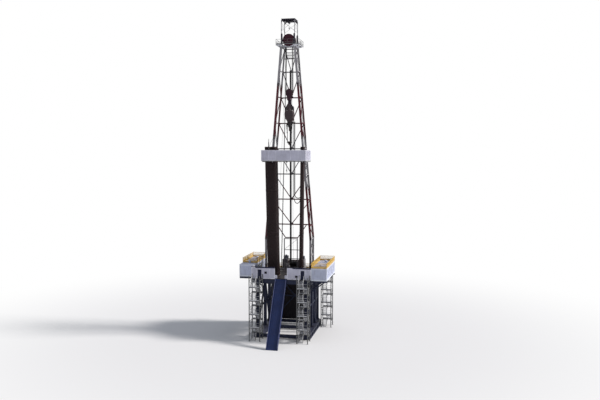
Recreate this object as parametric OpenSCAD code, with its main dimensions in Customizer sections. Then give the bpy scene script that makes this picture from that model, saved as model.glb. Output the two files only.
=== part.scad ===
// Oil drilling rig on a high substructure, half size, in millimetres.
// X runs across the rig, the ramp comes down toward -Y, Z is up, Z = 0 is the ground.

/* [Rig floor and substructure] */
// Height of the rig floor above the ground
floor_height = 6400; // [6000:50:6800]
// Half the width of the rig floor
floor_half_width = 3200; // [3100:20:3300]
// From the well centre to the front edge of the floor
floor_front = 4300; // [4200:20:4500]
// From the well centre to the rear edge of the floor
floor_rear = 3250; // [3150:20:3400]
// Thickness of the deck plate
deck_thickness = 60; // [40:5:80]
// Depth of the girders under the deck
girder_depth = 440; // [380:20:500]
// Height of the base boxes on the ground
base_box_height = 600; // [500:20:700]
// Width of a base box
base_box_width = 900; // [800:20:1000]
// From the middle of the rig to the middle of a base box
base_box_x = 2600; // [2560:10:2640]
// Side of a substructure post
post_size = 300; // [240:20:320]
// Radius of the opening through the rotary table
rotary_bore_radius = 238; // [200:2:245]

/* [Ramp and stairs] */
// Width of the ramp that leads up to the floor
ramp_width = 1200; // [1100:20:1280]
// How far the foot of the ramp lies in front of the floor
ramp_run = 4200; // [3900:50:4500]
// Thickness of the ramp bed
ramp_thickness = 140; // [120:10:180]
// Flights in each stair tower, an odd number
stair_flights = 9; // [7:2:11]
// Treads between two landings
treads_per_flight = 6; // [5:1:7]
// Length of a flight in plan
flight_run = 750; // [700:10:800]
// Length of a landing
landing_length = 300; // [280:10:340]
// From the middle of the rig to the middle of a front stair tower
front_tower_x = 2530; // [2500:10:2560]

/* [Walls and houses] */
// From the middle of the rig to the middle of a front doorway
doorway_x = 2300; // [2290:5:2320]
// Height of the windwalls round the floor
windwall_height = 1200; // [1100:20:1300]
// Thickness of the windwall sheets
windwall_thickness = 40; // [30:5:50]
// Half the width of the gap at the top of the ramp
v_door_half = 650; // [640:5:700]
// Width of the doorways in the front windwalls
doorway_width = 400; // [380:10:440]
// Height of the doorways in the front windwalls
doorway_height = 960; // [900:20:1000]
// Width of a side house
house_width = 1650; // [1600:10:1700]
// Length of a side house
house_length = 5600; // [5500:20:5640]
// Height of the house walls
house_height = 1200; // [1150:10:1260]
// Thickness of the house walls
house_wall = 50; // [40:5:60]
// How far the left house is set back from the front edge
left_house_setback = 1200; // [1150:10:1250]

/* [Mast] */
// Half the distance between the front legs at the floor
mast_half_bottom = 2475; // [2440:5:2500]
// Half the distance between the front legs at the crown
mast_half_top = 750; // [740:5:780]
// Height at which the legs begin to lean inward
mast_knee = 10300; // [10200:20:10400]
// Height of the second joint between mast sections
mast_joint_2 = 15800; // [15700:20:15900]
// Height of the third joint between mast sections
mast_joint_3 = 21300; // [21200:20:21400]
// Height of the fourth joint between mast sections
mast_joint_4 = 26950; // [26850:20:27050]
// Height of the top of the legs
mast_top = 31000; // [30960:20:31100]
// From the well centre to the front legs
mast_front = 750; // [740:5:780]
// From the well centre to the rear legs
mast_rear = 1050; // [1040:5:1080]
// Side of a front leg
front_leg = 200; // [180:5:210]
// Side of a rear leg
rear_leg = 160; // [150:5:170]
// Thickness of the flanges and webs of the legs
leg_flange = 20; // [16:1:26]
// Height of the lowest beam across the back of the mast
first_beam = 11650; // [11600:10:11700]
// Distance from one back beam to the next
beam_pitch = 2800; // [2780:5:2810]

/* [Crown] */
// Half the width of the crown platform
crown_half = 1275; // [1240:5:1300]
// Height of the crown sheave spindle above the platform
spindle_height = 600; // [590:5:640]
// Radius of the round plates beside the crown sheaves
crown_plate_radius = 575; // [560:5:585]
// Height of the lifting gantry above the platform
gantry_height = 2750; // [2700:10:2800]
// Half the width of the opening under the crown block
crown_opening = 620; // [600:10:640]

/* [Hoisting gear] */
// Height of the spindle of the travelling block as shown
block_spindle = 26050; // [26000:10:26100]
// Outer radius of the hoisting sheaves
sheave_radius = 382; // [378:1:386]
// Distance from the spindle to the drilling lines
line_offset = 372; // [370:1:374]
// Radius of a drilling line
line_radius = 10; // [9:0.5:11]
// From the well centre to the spindle of the fast line sheave
fast_sheave_y = 870; // [860:5:900]
// Radius at which the fast line lies in its sheave and on the drum
fast_groove = 280; // [270:2:284]
// Distance from one sheave to the next
sheave_pitch = 84; // [82:1:88]
// Half the width of the guide rail
rail_half = 90; // [80:2:96]
// Running gap between the carriage and the guide rail
rail_gap = 6; // [5:0.5:10]
// Radius of the mud hose
hose_radius = 40; // [36:1:42]
// Radius of the pins that carry the elevator links
link_pin = 29.5; // [26:0.5:32]
// Distance between the pins at the two ends of a link
link_length = 1740; // [1700:10:1800]

/* [Racking board] */
// Height of the racking board
board_height = 18800; // [18700:20:18900]
// Half the width of the racking board
board_half = 2400; // [2380:5:2440]
// From the well centre to the front of the racking board
board_front = 3100; // [3060:10:3140]
// Height of the windwalls on the racking board
board_wall = 1100; // [1000:20:1200]
// Distance between the rows of pipe
finger_pitch = 185; // [180:1:190]
// Width of a finger between two rows
finger_width = 60; // [50:2:70]
// Radius of a stand of pipe
pipe_radius = 36; // [32:1:40]
// Height to which the stands of pipe reach
stand_top = 20250; // [20100:50:20400]

/* [Hidden] */
deck_bottom = floor_height - deck_thickness;
girder_bottom = deck_bottom - girder_depth;
// The well stands behind the middle of the whole outline
ramp_foot = floor_front + ramp_run;
well_y = (ramp_foot - floor_rear) / 2;
house_x = floor_half_width;
house_outer = house_x + house_width;
lean = atan((mast_half_bottom - mast_half_top) / (mast_top - mast_knee));
beam_count = 7;
deck_crown = mast_top + 200;
spindle_z = deck_crown + spindle_height;
post_rows = [350 - floor_front, -mast_front, mast_rear + 150, floor_rear - 300];
box_overhang = 150;
skid_rise = 140;
box_panels = 7;
panel_depth = 50;
spreader_half = 130;
screen_setback = 60;
side_tower_end = floor_rear - 200;
tower_half = 520;
tower_post = 80;
flight_rise = floor_height / stair_flights;
tower_length = flight_run + 2 * landing_length;
landing_thickness = 60;
foot_height = 150;
left_rows = 7;
left_pipes = 10;
right_rows = 4;
line_count = 6;
line_gap = 0.5;
groove_radius = line_offset - line_radius - line_gap;
sheave_half = 36;
crown_beam = sheave_pitch * line_count / 2 + 23;
drum_y = 2300;
drum_z = floor_height + 650;
fast_foot_y = drum_y - fast_groove - line_radius - line_gap;
fast_top_y = fast_sheave_y + fast_groove + line_radius + line_gap;
rail_front = 540;
rail_back = 700;
rail_bottom = floor_height + 1100;
pipe_x = 1130;
standpipe_top = first_beam + 2 * beam_pitch + 150;
portal_x = 740;
link_top = block_spindle - 3585;
porthole_x = 1648;
porthole_sill = [240, 560];
railing = 40;

function half_at(z) = z <= mast_knee ? mast_half_bottom
  : mast_half_bottom - (z - mast_knee) * tan(lean);
function up_leg(z) = (z - mast_knee) / cos(lean);
function beam_z(n) = first_beam + n * beam_pitch;
function fast_line_y(z) = fast_top_y
  + (fast_foot_y - fast_top_y) * (spindle_z - z) / (spindle_z - drum_z);
function row_y(k) = -2500 + finger_pitch * k;

module box(x0, x1, y0, y1, z0, z1) {
  translate([x0, y0, z0])
    cube([x1 - x0, y1 - y0, z1 - z0]);
}

module both_sides() {
  children();
  mirror([1, 0, 0])
    children();
}

module bar(a, b, w, d) {
  v = b - a;
  l = norm(v);
  translate(a)
    rotate([0, acos(v.z / l), atan2(v.y, v.x)])
      translate([-w / 2, -d / 2, 0])
        cube([w, d, l]);
}

module rod(a, b, r, n = 16) {
  v = b - a;
  l = norm(v);
  translate(a)
    rotate([0, acos(v.z / l), atan2(v.y, v.x)])
      cylinder(h = l, r = r, $fn = n);
}

// A standing H section whose flanges face along Y
module h_along_y(x0, x1, y0, y1, z0, z1, t) {
  box(x0, x1, y0, y0 + t, z0, z1);
  box(x0, x1, y1 - t, y1, z0, z1);
  box((x0 + x1 - t) / 2, (x0 + x1 + t) / 2, y0 + t / 2, y1 - t / 2, z0, z1);
}

// A standing H section whose flanges face along X
module h_along_x(x0, x1, y0, y1, z0, z1, t) {
  box(x0, x0 + t, y0, y1, z0, z1);
  box(x1 - t, x1, y0, y1, z0, z1);
  box(x0 + t / 2, x1 - t / 2, (y0 + y1 - t) / 2, (y0 + y1 + t) / 2, z0, z1);
}

// A profile drawn in the YZ plane, given thickness along X
module side_plate(x0, x1) {
  translate([x0, 0, 0])
    rotate([90, 0, 90])
      linear_extrude(x1 - x0)
        children();
}

// A profile drawn in the XZ plane, given thickness along Y
module front_plate(y0, y1) {
  translate([0, y1, 0])
    rotate([90, 0, 0])
      linear_extrude(y1 - y0)
        children();
}

module railing_x(x0, x1, y, z, h, s) {
  n = max(1, round((x1 - x0) / 1150));
  for (i = [0 : n])
    translate([x0 + (x1 - x0 - s) * i / n, y, z])
      cube([s, s, h]);
  for (t = [0.5, 1])
    box(x0, x1, y, y + s, z + h * t - s, z + h * t);
}

module railing_y(x, y0, y1, z, h, s) {
  n = max(1, round((y1 - y0) / 1150));
  for (i = [0 : n])
    translate([x, y0 + (y1 - y0 - s) * i / n, z])
      cube([s, s, h]);
  for (t = [0.5, 1])
    box(x, x + s, y0, y1, z + h * t - s, z + h * t);
}

// Substructure
module base_boxes() {
  y0 = post_rows[0] - box_overhang;
  y1 = post_rows[3] + box_overhang;
  bay = (y1 - y0) / box_panels;
  color("#1d2a44")
    both_sides()
      difference() {
        side_plate(base_box_x - base_box_width / 2, base_box_x + base_box_width / 2)
          polygon([[y0, skid_rise], [y0 + skid_rise, 0], [y1 - skid_rise, 0], [y1, skid_rise],
            [y1, base_box_height], [y0, base_box_height]]);
        for (k = [0 : box_panels - 1])
          box(base_box_x + base_box_width / 2 - panel_depth, base_box_x + base_box_width,
            y0 + (k + 0.1) * bay, y0 + (k + 0.9) * bay, 110, base_box_height - 110);
      }
}

module base_spreaders() {
  inner = base_box_x - base_box_width / 2;
  color("#1d2a44")
    for (y = [post_rows[0], 0, post_rows[3] - 100])
      box(-inner, inner, y - spreader_half, y + spreader_half, 100, base_box_height - 150);
}

module leg_frames() {
  color("#22304d")
    both_sides() {
      for (y = post_rows)
        box(base_box_x - post_size / 2, base_box_x + post_size / 2,
          y - post_size / 2, y + post_size / 2, base_box_height, girder_bottom);
      for (i = [0 : 2])
        intersection() {
          bar([base_box_x, post_rows[i + (i == 1 ? 1 : 0)], base_box_height],
            [base_box_x, post_rows[i + (i == 1 ? 0 : 1)], girder_bottom], 160, 160);
          box(0, floor_half_width, -floor_front, floor_rear, base_box_height, girder_bottom);
        }
      box(base_box_x - 70, base_box_x + 70, post_rows[0], post_rows[3], 3100, 3260);
    }
}

module rear_bracing() {
  inner = base_box_x - post_size / 2;
  y = post_rows[3];
  color("#22304d")
    intersection() {
      union() {
        bar([-inner, y, base_box_height], [inner, y, girder_bottom], 140, 120);
        bar([inner, y, base_box_height], [-inner, y, girder_bottom], 140, 120);
        box(-inner, inner, y - 60, y + 60, 3100, 3260);
      }
      box(-inner, inner, y - 100, y + 100, base_box_height, girder_bottom);
    }
}

module rear_screen() {
  inner = base_box_x - base_box_width / 2;
  color("#2b2630")
    box(-inner, inner, post_rows[3] + screen_setback, post_rows[3] + screen_setback + 20,
      base_box_height - 140, girder_bottom);
}

module floor_girders() {
  w = floor_half_width;
  color("#1f2c48") {
    for (x = [-w, -base_box_x - 150, base_box_x - 150, w - 120])
      box(x, x + (abs(x) == w || x == w - 120 ? 120 : 300), -floor_front, floor_rear,
        girder_bottom, deck_bottom);
    for (x = [-450, 250])
      box(x, x + 200, -floor_front, floor_rear, girder_bottom, deck_bottom);
    for (y = [-floor_front, -mast_front - 150, mast_rear - 100, floor_rear - 200])
      box(-w, w, y, y + 250 - (y == floor_rear - 200 ? 50 : 0), girder_bottom, deck_bottom);
  }
}

module rig_floor() {
  color("#6d6f73")
    difference() {
      box(-floor_half_width, floor_half_width, -floor_front, floor_rear,
        deck_bottom, floor_height);
      translate([0, 0, deck_bottom - 1])
        cylinder(h = deck_thickness + 2, r = 322, $fn = 48);
    }
}

module rotary_table() {
  color("#7a1f1c")
    difference() {
      translate([0, 0, deck_bottom])
        cylinder(h = 100, r = 320, $fn = 48);
      translate([0, 0, deck_bottom - 1])
        cylinder(h = 102, r = rotary_bore_radius, $fn = 48);
    }
}

module catwalk_ramp() {
  drop = ramp_thickness * norm([ramp_run, floor_height]) / ramp_run;
  color("#2f4a86") {
    side_plate(-ramp_width / 2, ramp_width / 2)
      polygon([[-floor_front, floor_height], [-floor_front, floor_height - drop],
        [-ramp_foot + drop * ramp_run / floor_height, 0], [-ramp_foot, 0]]);
    both_sides()
      side_plate(ramp_width / 2 - 60, ramp_width / 2)
        polygon([[-floor_front, floor_height - 10], [-ramp_foot, 0],
          [-ramp_foot, 160], [-floor_front - 100, floor_height + 160 - 152],
          [-floor_front, floor_height]]);
  }
}

// Stair towers: each is placed by its middle in X and by the end of its top landing in Y
module towers() {
  translate([front_tower_x, -floor_front, 0])
    children();
  translate([-front_tower_x, -floor_front, 0])
    children();
  translate([floor_half_width + tower_half + tower_post, side_tower_end, 0])
    children();
}

module stair_posts() {
  color("#c9ccd0")
    towers()
      for (x = [-tower_half - tower_post, tower_half])
        for (y = [-tower_length, -tower_post])
          box(x, x + tower_post, y, y + tower_post, 0, floor_height + 480);
}

module stair_landings() {
  color("#a9adb2") {
    towers()
      for (i = [1 : stair_flights]) {
        y = i % 2 == 1 ? -landing_length : -tower_length;
        box(-tower_half, tower_half, y, y + landing_length,
          flight_rise * i - landing_thickness, flight_rise * i);
      }
    box(floor_half_width, floor_half_width + tower_post, side_tower_end - landing_length,
      side_tower_end - tower_post, floor_height - landing_thickness, floor_height);
  }
}

module flights() {
  for (i = [0 : stair_flights - 1])
    translate([i % 2 == 0 ? -tower_half / 2 : tower_half / 2, 0, flight_rise * i])
      translate([0, i % 2 == 0 ? landing_length - tower_length : -landing_length, 0])
        mirror([0, i % 2, 0])
          children();
}

module stair_stringers() {
  slope = flight_rise / flight_run;
  color("#c9ccd0")
    towers()
      intersection() {
        flights()
          both_sides()
            side_plate(225, 250)
              polygon([[0, -150], [flight_run, flight_rise - 150],
                [flight_run, flight_rise + 30], [0, 30]]);
        box(-1000, 1000, -2000, 500, 0, floor_height + 100);
      }
}

module stair_treads() {
  color("#8d9196")
    towers()
      flights()
        for (k = [1 : treads_per_flight])
          box(-225, 225, flight_run * (k - 0.5) / treads_per_flight - 55,
            flight_run * (k - 0.5) / treads_per_flight + 55,
            flight_rise * k / (treads_per_flight + 1) - 20,
            flight_rise * k / (treads_per_flight + 1));
}

module stair_handrails() {
  color("#d6d8da")
    towers()
      for (i = [0 : stair_flights - 1]) {
        side = i % 2 == 0 ? -tower_half : tower_half - 30;
        translate([side, 0, flight_rise * i])
          mirror([0, i % 2, 0])
            translate([0, i % 2 == 0 ? -tower_length : 0, 0])
              side_plate(0, 30)
                polygon([[0, 470], [landing_length, 470],
                  [landing_length + flight_run, 470 + flight_rise],
                  [tower_length, 470 + flight_rise], [tower_length, 500 + flight_rise],
                  [landing_length + flight_run - 10, 500 + flight_rise],
                  [landing_length - 10, 500], [0, 500]]);
      }
}

// Walls round the floor
module windwalls() {
  t = windwall_thickness;
  top = floor_height + windwall_height;
  color("#c9c8d6") {
    for (s = [0, 1])
      mirror([s, 0, 0])
      difference() {
        box(v_door_half, floor_half_width, -floor_front, -floor_front + t, floor_height, top);
        box(doorway_x - doorway_width / 2, doorway_x + doorway_width / 2, -floor_front - 1,
          -floor_front + t + 1, floor_height - 1, floor_height + doorway_height);
        box(porthole_x - 100, porthole_x + 100, -floor_front - 1, -floor_front + t + 1,
          floor_height + porthole_sill[s], floor_height + porthole_sill[s] + 170);
      }
    box(-floor_half_width, -floor_half_width + t, -floor_front + t,
      -floor_front + left_house_setback, floor_height, top);
    both_sides()
      box(v_door_half - 240, v_door_half, -floor_front, -floor_front + 60,
        floor_height, floor_height + 420);
  }
}

module windwall_caps() {
  top = floor_height + windwall_height;
  color("#1c2540")
    both_sides()
      box(v_door_half, floor_half_width, -floor_front, -floor_front + 90, top, top + 60);
}

module house_shell(side, front) {
  t = house_wall;
  top = floor_height + house_height;
  mirror([side < 0 ? 1 : 0, 0, 0])
    translate([house_x, front, 0]) {
      box(0, house_width, 0, t, floor_height, top);
      box(0, house_width, house_length - t, house_length, floor_height, top);
      box(house_width - t, house_width, t, house_length - t, floor_height, top);
      difference() {
        box(0, t, t, house_length - t, floor_height, top);
        box(-1, t + 1, 3900, 4360, floor_height - 1, floor_height + 1020);
        for (y = [1500, 2600])
          box(-1, t + 1, y, y + 800, floor_height + 480, floor_height + 980);
      }
    }
}

module right_house() {
  color("#c3cfe2")
    house_shell(1, -floor_front);
}

module left_house() {
  color("#c3cfe2")
    house_shell(-1, -floor_front + left_house_setback);
}

module at_houses() {
  translate([house_x, -floor_front, 0])
    children();
  translate([-house_x - house_width, -floor_front + left_house_setback, 0])
    children();
}

module house_floors() {
  color("#55585e")
    at_houses()
      box(0, house_width, 0, house_length, deck_bottom, floor_height);
}

module house_roofs() {
  top = floor_height + house_height;
  color("#c6cbd4")
    at_houses()
      box(0, house_width, 0, house_length, top, top + 50);
}

// A beam under a house with the brace that carries it back to a post
module house_bracket() {
  box(floor_half_width, house_outer, -80, 80, deck_bottom - 220, deck_bottom);
  difference() {
    bar([base_box_x, 0, 4700], [house_outer - 250, 0, deck_bottom - 150], 120, 100);
    box(0, base_box_x + post_size / 2, -200, 200, 0, floor_height);
    box(0, floor_half_width, -200, 200, girder_bottom, floor_height);
  }
}

module house_supports() {
  ends = [left_house_setback - floor_front + 150, left_house_setback - floor_front + house_length - 150];
  color("#22304d") {
    for (y = [post_rows[0], post_rows[1], post_rows[2]])
      translate([0, y, 0])
        house_bracket();
    mirror([1, 0, 0]) {
      for (y = [post_rows[1], post_rows[2]])
        translate([0, y, 0])
          house_bracket();
      for (y = ends)
        box(floor_half_width, house_outer, y - 80, y + 80, deck_bottom - 220, deck_bottom);
    }
  }
}

module roof_railings() {
  z = floor_height + house_height + 50;
  s = railing;
  color("#d9a21b")
    at_houses() {
      railing_x(0, house_width, 0, z, 550, s);
      railing_x(0, house_width, house_length - s, z, 550, s);
      railing_y(0, 2 * s, house_length - 2 * s, z, 550, s);
      railing_y(house_width - s, 2 * s, house_length - 2 * s, z, 550, s);
    }
}

module floor_railings() {
  s = railing;
  right_end = house_length - floor_front;
  left_end = right_end + left_house_setback;
  color("#d9a21b") {
    railing_x(-floor_half_width, floor_half_width, floor_rear - s, floor_height, 550, s);
    railing_y(floor_half_width - s, right_end + s, side_tower_end - landing_length - s,
      floor_height, 550, s);
    railing_y(-floor_half_width, left_end + s, floor_rear - 2 * s, floor_height, 550, s);
  }
}

// Drawworks
module drawworks_frame() {
  z = floor_height;
  color("#b9bec4") {
    box(-1300, 1300, drum_y - 550, drum_y + 650, z, z + 150);
    both_sides()
      difference() {
        box(600, 1250, drum_y - 450, drum_y + 550, z + 150, z + 1150);
        translate([599, drum_y, drum_z])
          rotate([0, 90, 0])
            cylinder(h = 652, r = 91, $fn = 32);
      }
    both_sides() {
      box(700, 1160, drum_y + 60, drum_y + 340, z + 1150, z + 1210);
      rod([660, drum_y + 200, z + 1340], [1200, drum_y + 200, z + 1340], 175, 32);
    }
    box(-600, 600, drum_y + 450, drum_y + 550, z + 150, z + 950);
  }
}

module drawworks_drum() {
  color("#4b4f55")
    translate([0, drum_y, drum_z])
      rotate([0, 90, 0]) {
        translate([0, 0, -1200])
          cylinder(h = 2400, r = 90, $fn = 32);
        translate([0, 0, -520])
          cylinder(h = 1040, r = fast_groove, $fn = 40);
        for (x = [-560, 520])
          translate([0, 0, x])
            cylinder(h = 40, r = 400, $fn = 40);
      }
}

// Mast
module leaning_panel() {
  l = up_leg(mast_top) + 100;
  translate([mast_half_bottom, 0, mast_knee])
    rotate([0, -lean, 0]) {
      h_along_y(-front_leg / 2, front_leg / 2, -mast_front - front_leg / 2,
        -mast_front + front_leg / 2, -100, l, leg_flange);
      h_along_x(-rear_leg / 2, rear_leg / 2, mast_rear - rear_leg / 2,
        mast_rear + rear_leg / 2, -100, l, leg_flange);
      for (n = [0 : beam_count - 1]) {
        z0 = up_leg(beam_z(n));
        z1 = n < beam_count - 1 ? up_leg(beam_z(n + 1)) : up_leg(mast_top) - 50;
        box(-45, 45, -mast_front, mast_rear, z0 - 50, z0 + 50);
        bar([0, n % 2 == 0 ? -mast_front : mast_rear, z0],
          [0, n % 2 == 0 ? mast_rear : -mast_front, z1], 80, 70);
      }
      bar([0, mast_rear, 110], [0, -mast_front, up_leg(beam_z(0)) - 20], 80, 70);
      box(-45, 45, -mast_front, mast_rear, up_leg(mast_top) - 120, up_leg(mast_top) - 20);
    }
}

module upright_panel() {
  z = floor_height + foot_height;
  x = mast_half_bottom;
  middle = (z + mast_knee) / 2;
  h_along_y(x - front_leg / 2, x + front_leg / 2, -mast_front - front_leg / 2,
    -mast_front + front_leg / 2, z, mast_knee, leg_flange);
  h_along_x(x - rear_leg / 2, x + rear_leg / 2, mast_rear - rear_leg / 2,
    mast_rear + rear_leg / 2, z, mast_knee, leg_flange);
  for (h = [z + 150, middle, mast_knee - 100])
    box(x - 45, x + 45, -mast_front, mast_rear, h - 50, h + 50);
  bar([x, -mast_front, z + 150], [x, mast_rear, middle], 80, 70);
  bar([x, mast_rear, middle], [x, -mast_front, mast_knee - 100], 80, 70);
}

module layer(z0, z1) {
  intersection() {
    children();
    box(-3000, 3000, -2000, 2000, z0, z1);
  }
}

module mast_sides(z0, z1) {
  both_sides()
    layer(z0, z1)
      leaning_panel();
}

module rear_legs_only() {
  both_sides()
    translate([mast_half_bottom, 0, mast_knee])
      rotate([0, -lean, 0])
        box(-rear_leg / 2, 400, mast_rear - rear_leg, mast_rear + rear_leg,
          -500, up_leg(mast_top) + 300);
}

module back_bars() {
  y = mast_rear;
  for (n = [0 : beam_count - 1]) {
    z0 = beam_z(n);
    top = n < beam_count - 1 ? beam_z(n + 1) : mast_top;
    box(-half_at(z0), half_at(z0), y - 50, y + 50, z0 - 60, z0 + 60);
    both_sides()
      bar([0, y, z0 + 20], [half_at(top) - 60, y, top - 150], 90, 70);
  }
  for (z = [mast_top - 1140, mast_top - 110])
    box(-half_at(z), half_at(z), y - 50, y + 50, z, z + 110 - (z < mast_top - 110 ? 30 : 0));
  both_sides()
    bar([portal_x - 40, y, mast_knee - 150], [1720, y, first_beam], 90, 70);
  box(-portal_x, portal_x, y - 50, y + 50, mast_knee - 200, mast_knee - 100);
}

module mast_back(z0, z1) {
  layer(z0, z1)
    difference() {
      back_bars();
      rear_legs_only();
    }
}

module mast_sides_1() {
  color("#d2cdd3")
    both_sides()
      upright_panel();
}

module mast_sides_2() {
  color("#6e1f26")
    mast_sides(mast_knee, mast_joint_2);
}

module mast_sides_3() {
  color("#d2cdd3")
    mast_sides(mast_joint_2, mast_joint_3);
}

module mast_sides_4() {
  color("#6e1f26")
    mast_sides(mast_joint_3, mast_joint_4);
}

module mast_sides_5() {
  color("#d2cdd3")
    mast_sides(mast_joint_4, mast_top);
}

module mast_back_2() {
  color("#5c262c")
    mast_back(floor_height, mast_joint_2);
}

module mast_back_3() {
  color("#8f8c93")
    mast_back(mast_joint_2, mast_joint_3);
}

module mast_back_4() {
  color("#5c262c")
    mast_back(mast_joint_3, mast_joint_4);
}

module mast_back_5() {
  color("#8f8c93")
    mast_back(mast_joint_4, mast_top);
}

module mast_feet() {
  color("#3a3f4a")
    both_sides()
      for (y = [-mast_front, mast_rear])
        box(mast_half_bottom - 210, mast_half_bottom + 210, y - 210, y + 210,
          floor_height, floor_height + foot_height);
}

module guide_rail() {
  color("#2e3038") {
    box(-rail_half, rail_half, rail_front, rail_back, rail_bottom, beam_z(beam_count - 1) + 150);
    for (n = [0 : beam_count - 1])
      box(-60, 60, rail_back, mast_rear - 50, beam_z(n) - 50, beam_z(n) + 50);
  }
}

module standpipe() {
  top = standpipe_top;
  color("#7d8086") {
    translate([pipe_x, 900, floor_height])
      cylinder(h = top - floor_height, r = 45, $fn = 20);
    translate([pipe_x, 760, top])
      rotate([90, 0, 90])
        rotate_extrude(angle = 180, $fn = 32)
          translate([140, 0])
            circle(r = 45, $fn = 20);
    translate([pipe_x, 620, top - 200])
      cylinder(h = 200, r = 45, $fn = 20);
    for (n = [0 : 2])
      box(pipe_x - 40, pipe_x + 40, 900, mast_rear - 50, beam_z(n) - 40, beam_z(n) + 40);
  }
}

// Crown
module crown_platform() {
  w = crown_half;
  color("#9a9ca3")
    difference() {
      union() {
        box(-w, w, -1050, 1400, deck_crown - 50, deck_crown);
        for (y = [-mast_front, mast_rear])
          box(-w, w, y - 80, y + 80, mast_top, deck_crown - 50);
        for (y = [-crown_beam - 125, crown_beam])
          box(-w, w, y, y + 125, mast_top, deck_crown - 50);
        both_sides()
          box(mast_half_top - 90, mast_half_top + 90, -1050, 1400, mast_top, deck_crown - 50);
      }
      box(-crown_opening, crown_opening, -crown_beam, crown_beam, mast_top - 1, deck_crown + 1);
      box(-60, 60, mast_rear + 80, fast_line_y(mast_top) + 50, mast_top - 1, deck_crown + 1);
    }
}

module crown_railing() {
  w = crown_half;
  s = 30;
  color("#b7bac0") {
    railing_x(-w, w, -1050, deck_crown, 550, s);
    railing_x(-w, w, 1400 - s, deck_crown, 550, s);
    railing_y(-w, -1050 + s + 20, 1400 - s - 20, deck_crown, 550, s);
    railing_y(w - s, -1050 + s + 20, 1400 - s - 20, deck_crown, 550, s);
  }
}

module crown_block_frame() {
  y = sheave_pitch * line_count / 2 + 45;
  color("#5a2024") {
    for (y0 = [-y - 35, y])
      front_plate(y0, y0 + 35)
        union() {
          translate([0, spindle_z])
            circle(r = crown_plate_radius, $fn = 64);
          translate([-470, deck_crown])
            square([940, 300]);
        }
    translate([0, y + 35, spindle_z])
      rotate([90, 0, 0])
        cylinder(h = 2 * y + 70, r = 70, $fn = 32);
  }
}

// A sheave turned about Z, with a groove whose flat bottom is a little wider than the line
module sheave(r, groove, bore) {
  w = sheave_half;
  half_bottom = line_radius + 3;
  rotate_extrude($fn = 40)
    polygon([[bore, -w], [r, -w], [r, 6 - w], [groove, -half_bottom], [groove, half_bottom],
      [r, w - 6], [r, w], [bore, w]]);
}

// A sheave with round holes through its web
module spoked_sheave(r, groove, bore) {
  difference() {
    sheave(r, groove, bore);
    for (a = [0 : 60 : 300])
      rotate([0, 0, a])
        translate([(groove + bore) / 2, 0, -sheave_half - 1])
          cylinder(h = 2 * sheave_half + 2, r = (groove - bore) / 5, $fn = 24);
  }
}

module crown_sheaves() {
  color("#45343a")
    for (k = [0 : line_count])
      translate([0, sheave_pitch * (k - line_count / 2), spindle_z])
        rotate([90, 0, 0])
          spoked_sheave(sheave_radius, groove_radius, 70.5);
}

module fast_line_sheave() {
  color("#45343a")
    translate([0, fast_sheave_y, spindle_z])
      rotate([0, 90, 0])
        spoked_sheave(fast_groove + 20, fast_groove, 50.5);
}

module fast_sheave_bracket() {
  color("#5a2024") {
    both_sides()
      side_plate(60, 90)
        translate([fast_sheave_y, 0])
          polygon([[-180, deck_crown], [180, deck_crown], [70, spindle_z + 90], [-70, spindle_z + 90]]);
    translate([-90, fast_sheave_y, spindle_z])
      rotate([0, 90, 0])
        cylinder(h = 180, r = 50, $fn = 24);
  }
}

module crown_gantry() {
  top = deck_crown + gantry_height;
  x = 767;
  color("#2b2d33") {
    both_sides() {
      for (y = [-750, 870])
        box(x - 80, x, y, y + 80, deck_crown, top - 150);
      box(x - 120, x, -750, 950, top - 150, top);
      bar([x - 40, -710, top - 1300], [x - 40, 910, top - 100], 40, 30);
      bar([x - 40, 910, top - 1300], [x - 40, -710, top - 100], 40, 30);
    }
    for (y = [-750, 830])
      box(-x, x, y, y + 120, top - 150, top);
    for (y = [-710, 910]) {
      bar([-x + 40, y, top - 1300], [x - 40, y, top - 100], 40, 30);
      bar([x - 40, y, top - 1300], [-x + 40, y, top - 100], 40, 30);
    }
    box(-x + 120, x - 120, -630, 830, top - 30, top);
    box(-50, 50, -630, 830, top - 140, top - 30);
  }
}

// Racking board with the stands of pipe
module racking_board() {
  z = board_height;
  color("#6f737a") {
    box(-board_half, board_half, -board_front, -2700, z - 60, z);
    both_sides()
      box(board_half - 130, board_half, -2700, -250, z - 160, z);
    box(-board_half + 130, board_half - 130, -1010, -mast_front - front_leg / 2, z - 160, z);
    both_sides()
      box(560, 620, -2700, -1010, z - 80, z);
    both_sides()
      difference() {
        bar([board_half - 65, -1500, z], [half_at(z - 1400) - 50, -700, z - 1400], 80, 80);
        box(0, 3000, -mast_front - front_leg / 2, 0, 0, z);
        box(0, 3000, -2000, 0, z - 160, z + 200);
      }
  }
}

module racking_fingers() {
  color("#8a8d92")
    both_sides()
      for (k = [0 : left_rows])
        box(620, board_half - 130, row_y(k) - (finger_pitch + finger_width) / 2,
          row_y(k) - (finger_pitch - finger_width) / 2, board_height - 80, board_height);
}

module board_windwalls() {
  z = board_height;
  t = 40;
  color("#c4c7cc") {
    box(-board_half, board_half, -board_front, -board_front + t, z, z + board_wall);
    both_sides()
      box(board_half - t, board_half, -board_front + t, -250, z, z + board_wall);
  }
}

module stand(x_foot, x_board, y, r) {
  s = (x_board - x_foot) / (board_height - floor_height);
  intersection() {
    rod([x_foot - 100 * s, y, floor_height - 100],
      [x_foot + (stand_top + 100 - floor_height) * s, y, stand_top + 100], r, 14);
    translate([-4000, y - 100, floor_height])
      cube([8000, 200, stand_top - floor_height]);
  }
}

module pipe_stands_left() {
  color("#2c2426")
    for (k = [0 : left_rows - 1])
      for (i = [0 : left_pipes - 1])
        stand(-800 - 112 * i, -1020 - 118 * i, row_y(k), pipe_radius);
}

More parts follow.
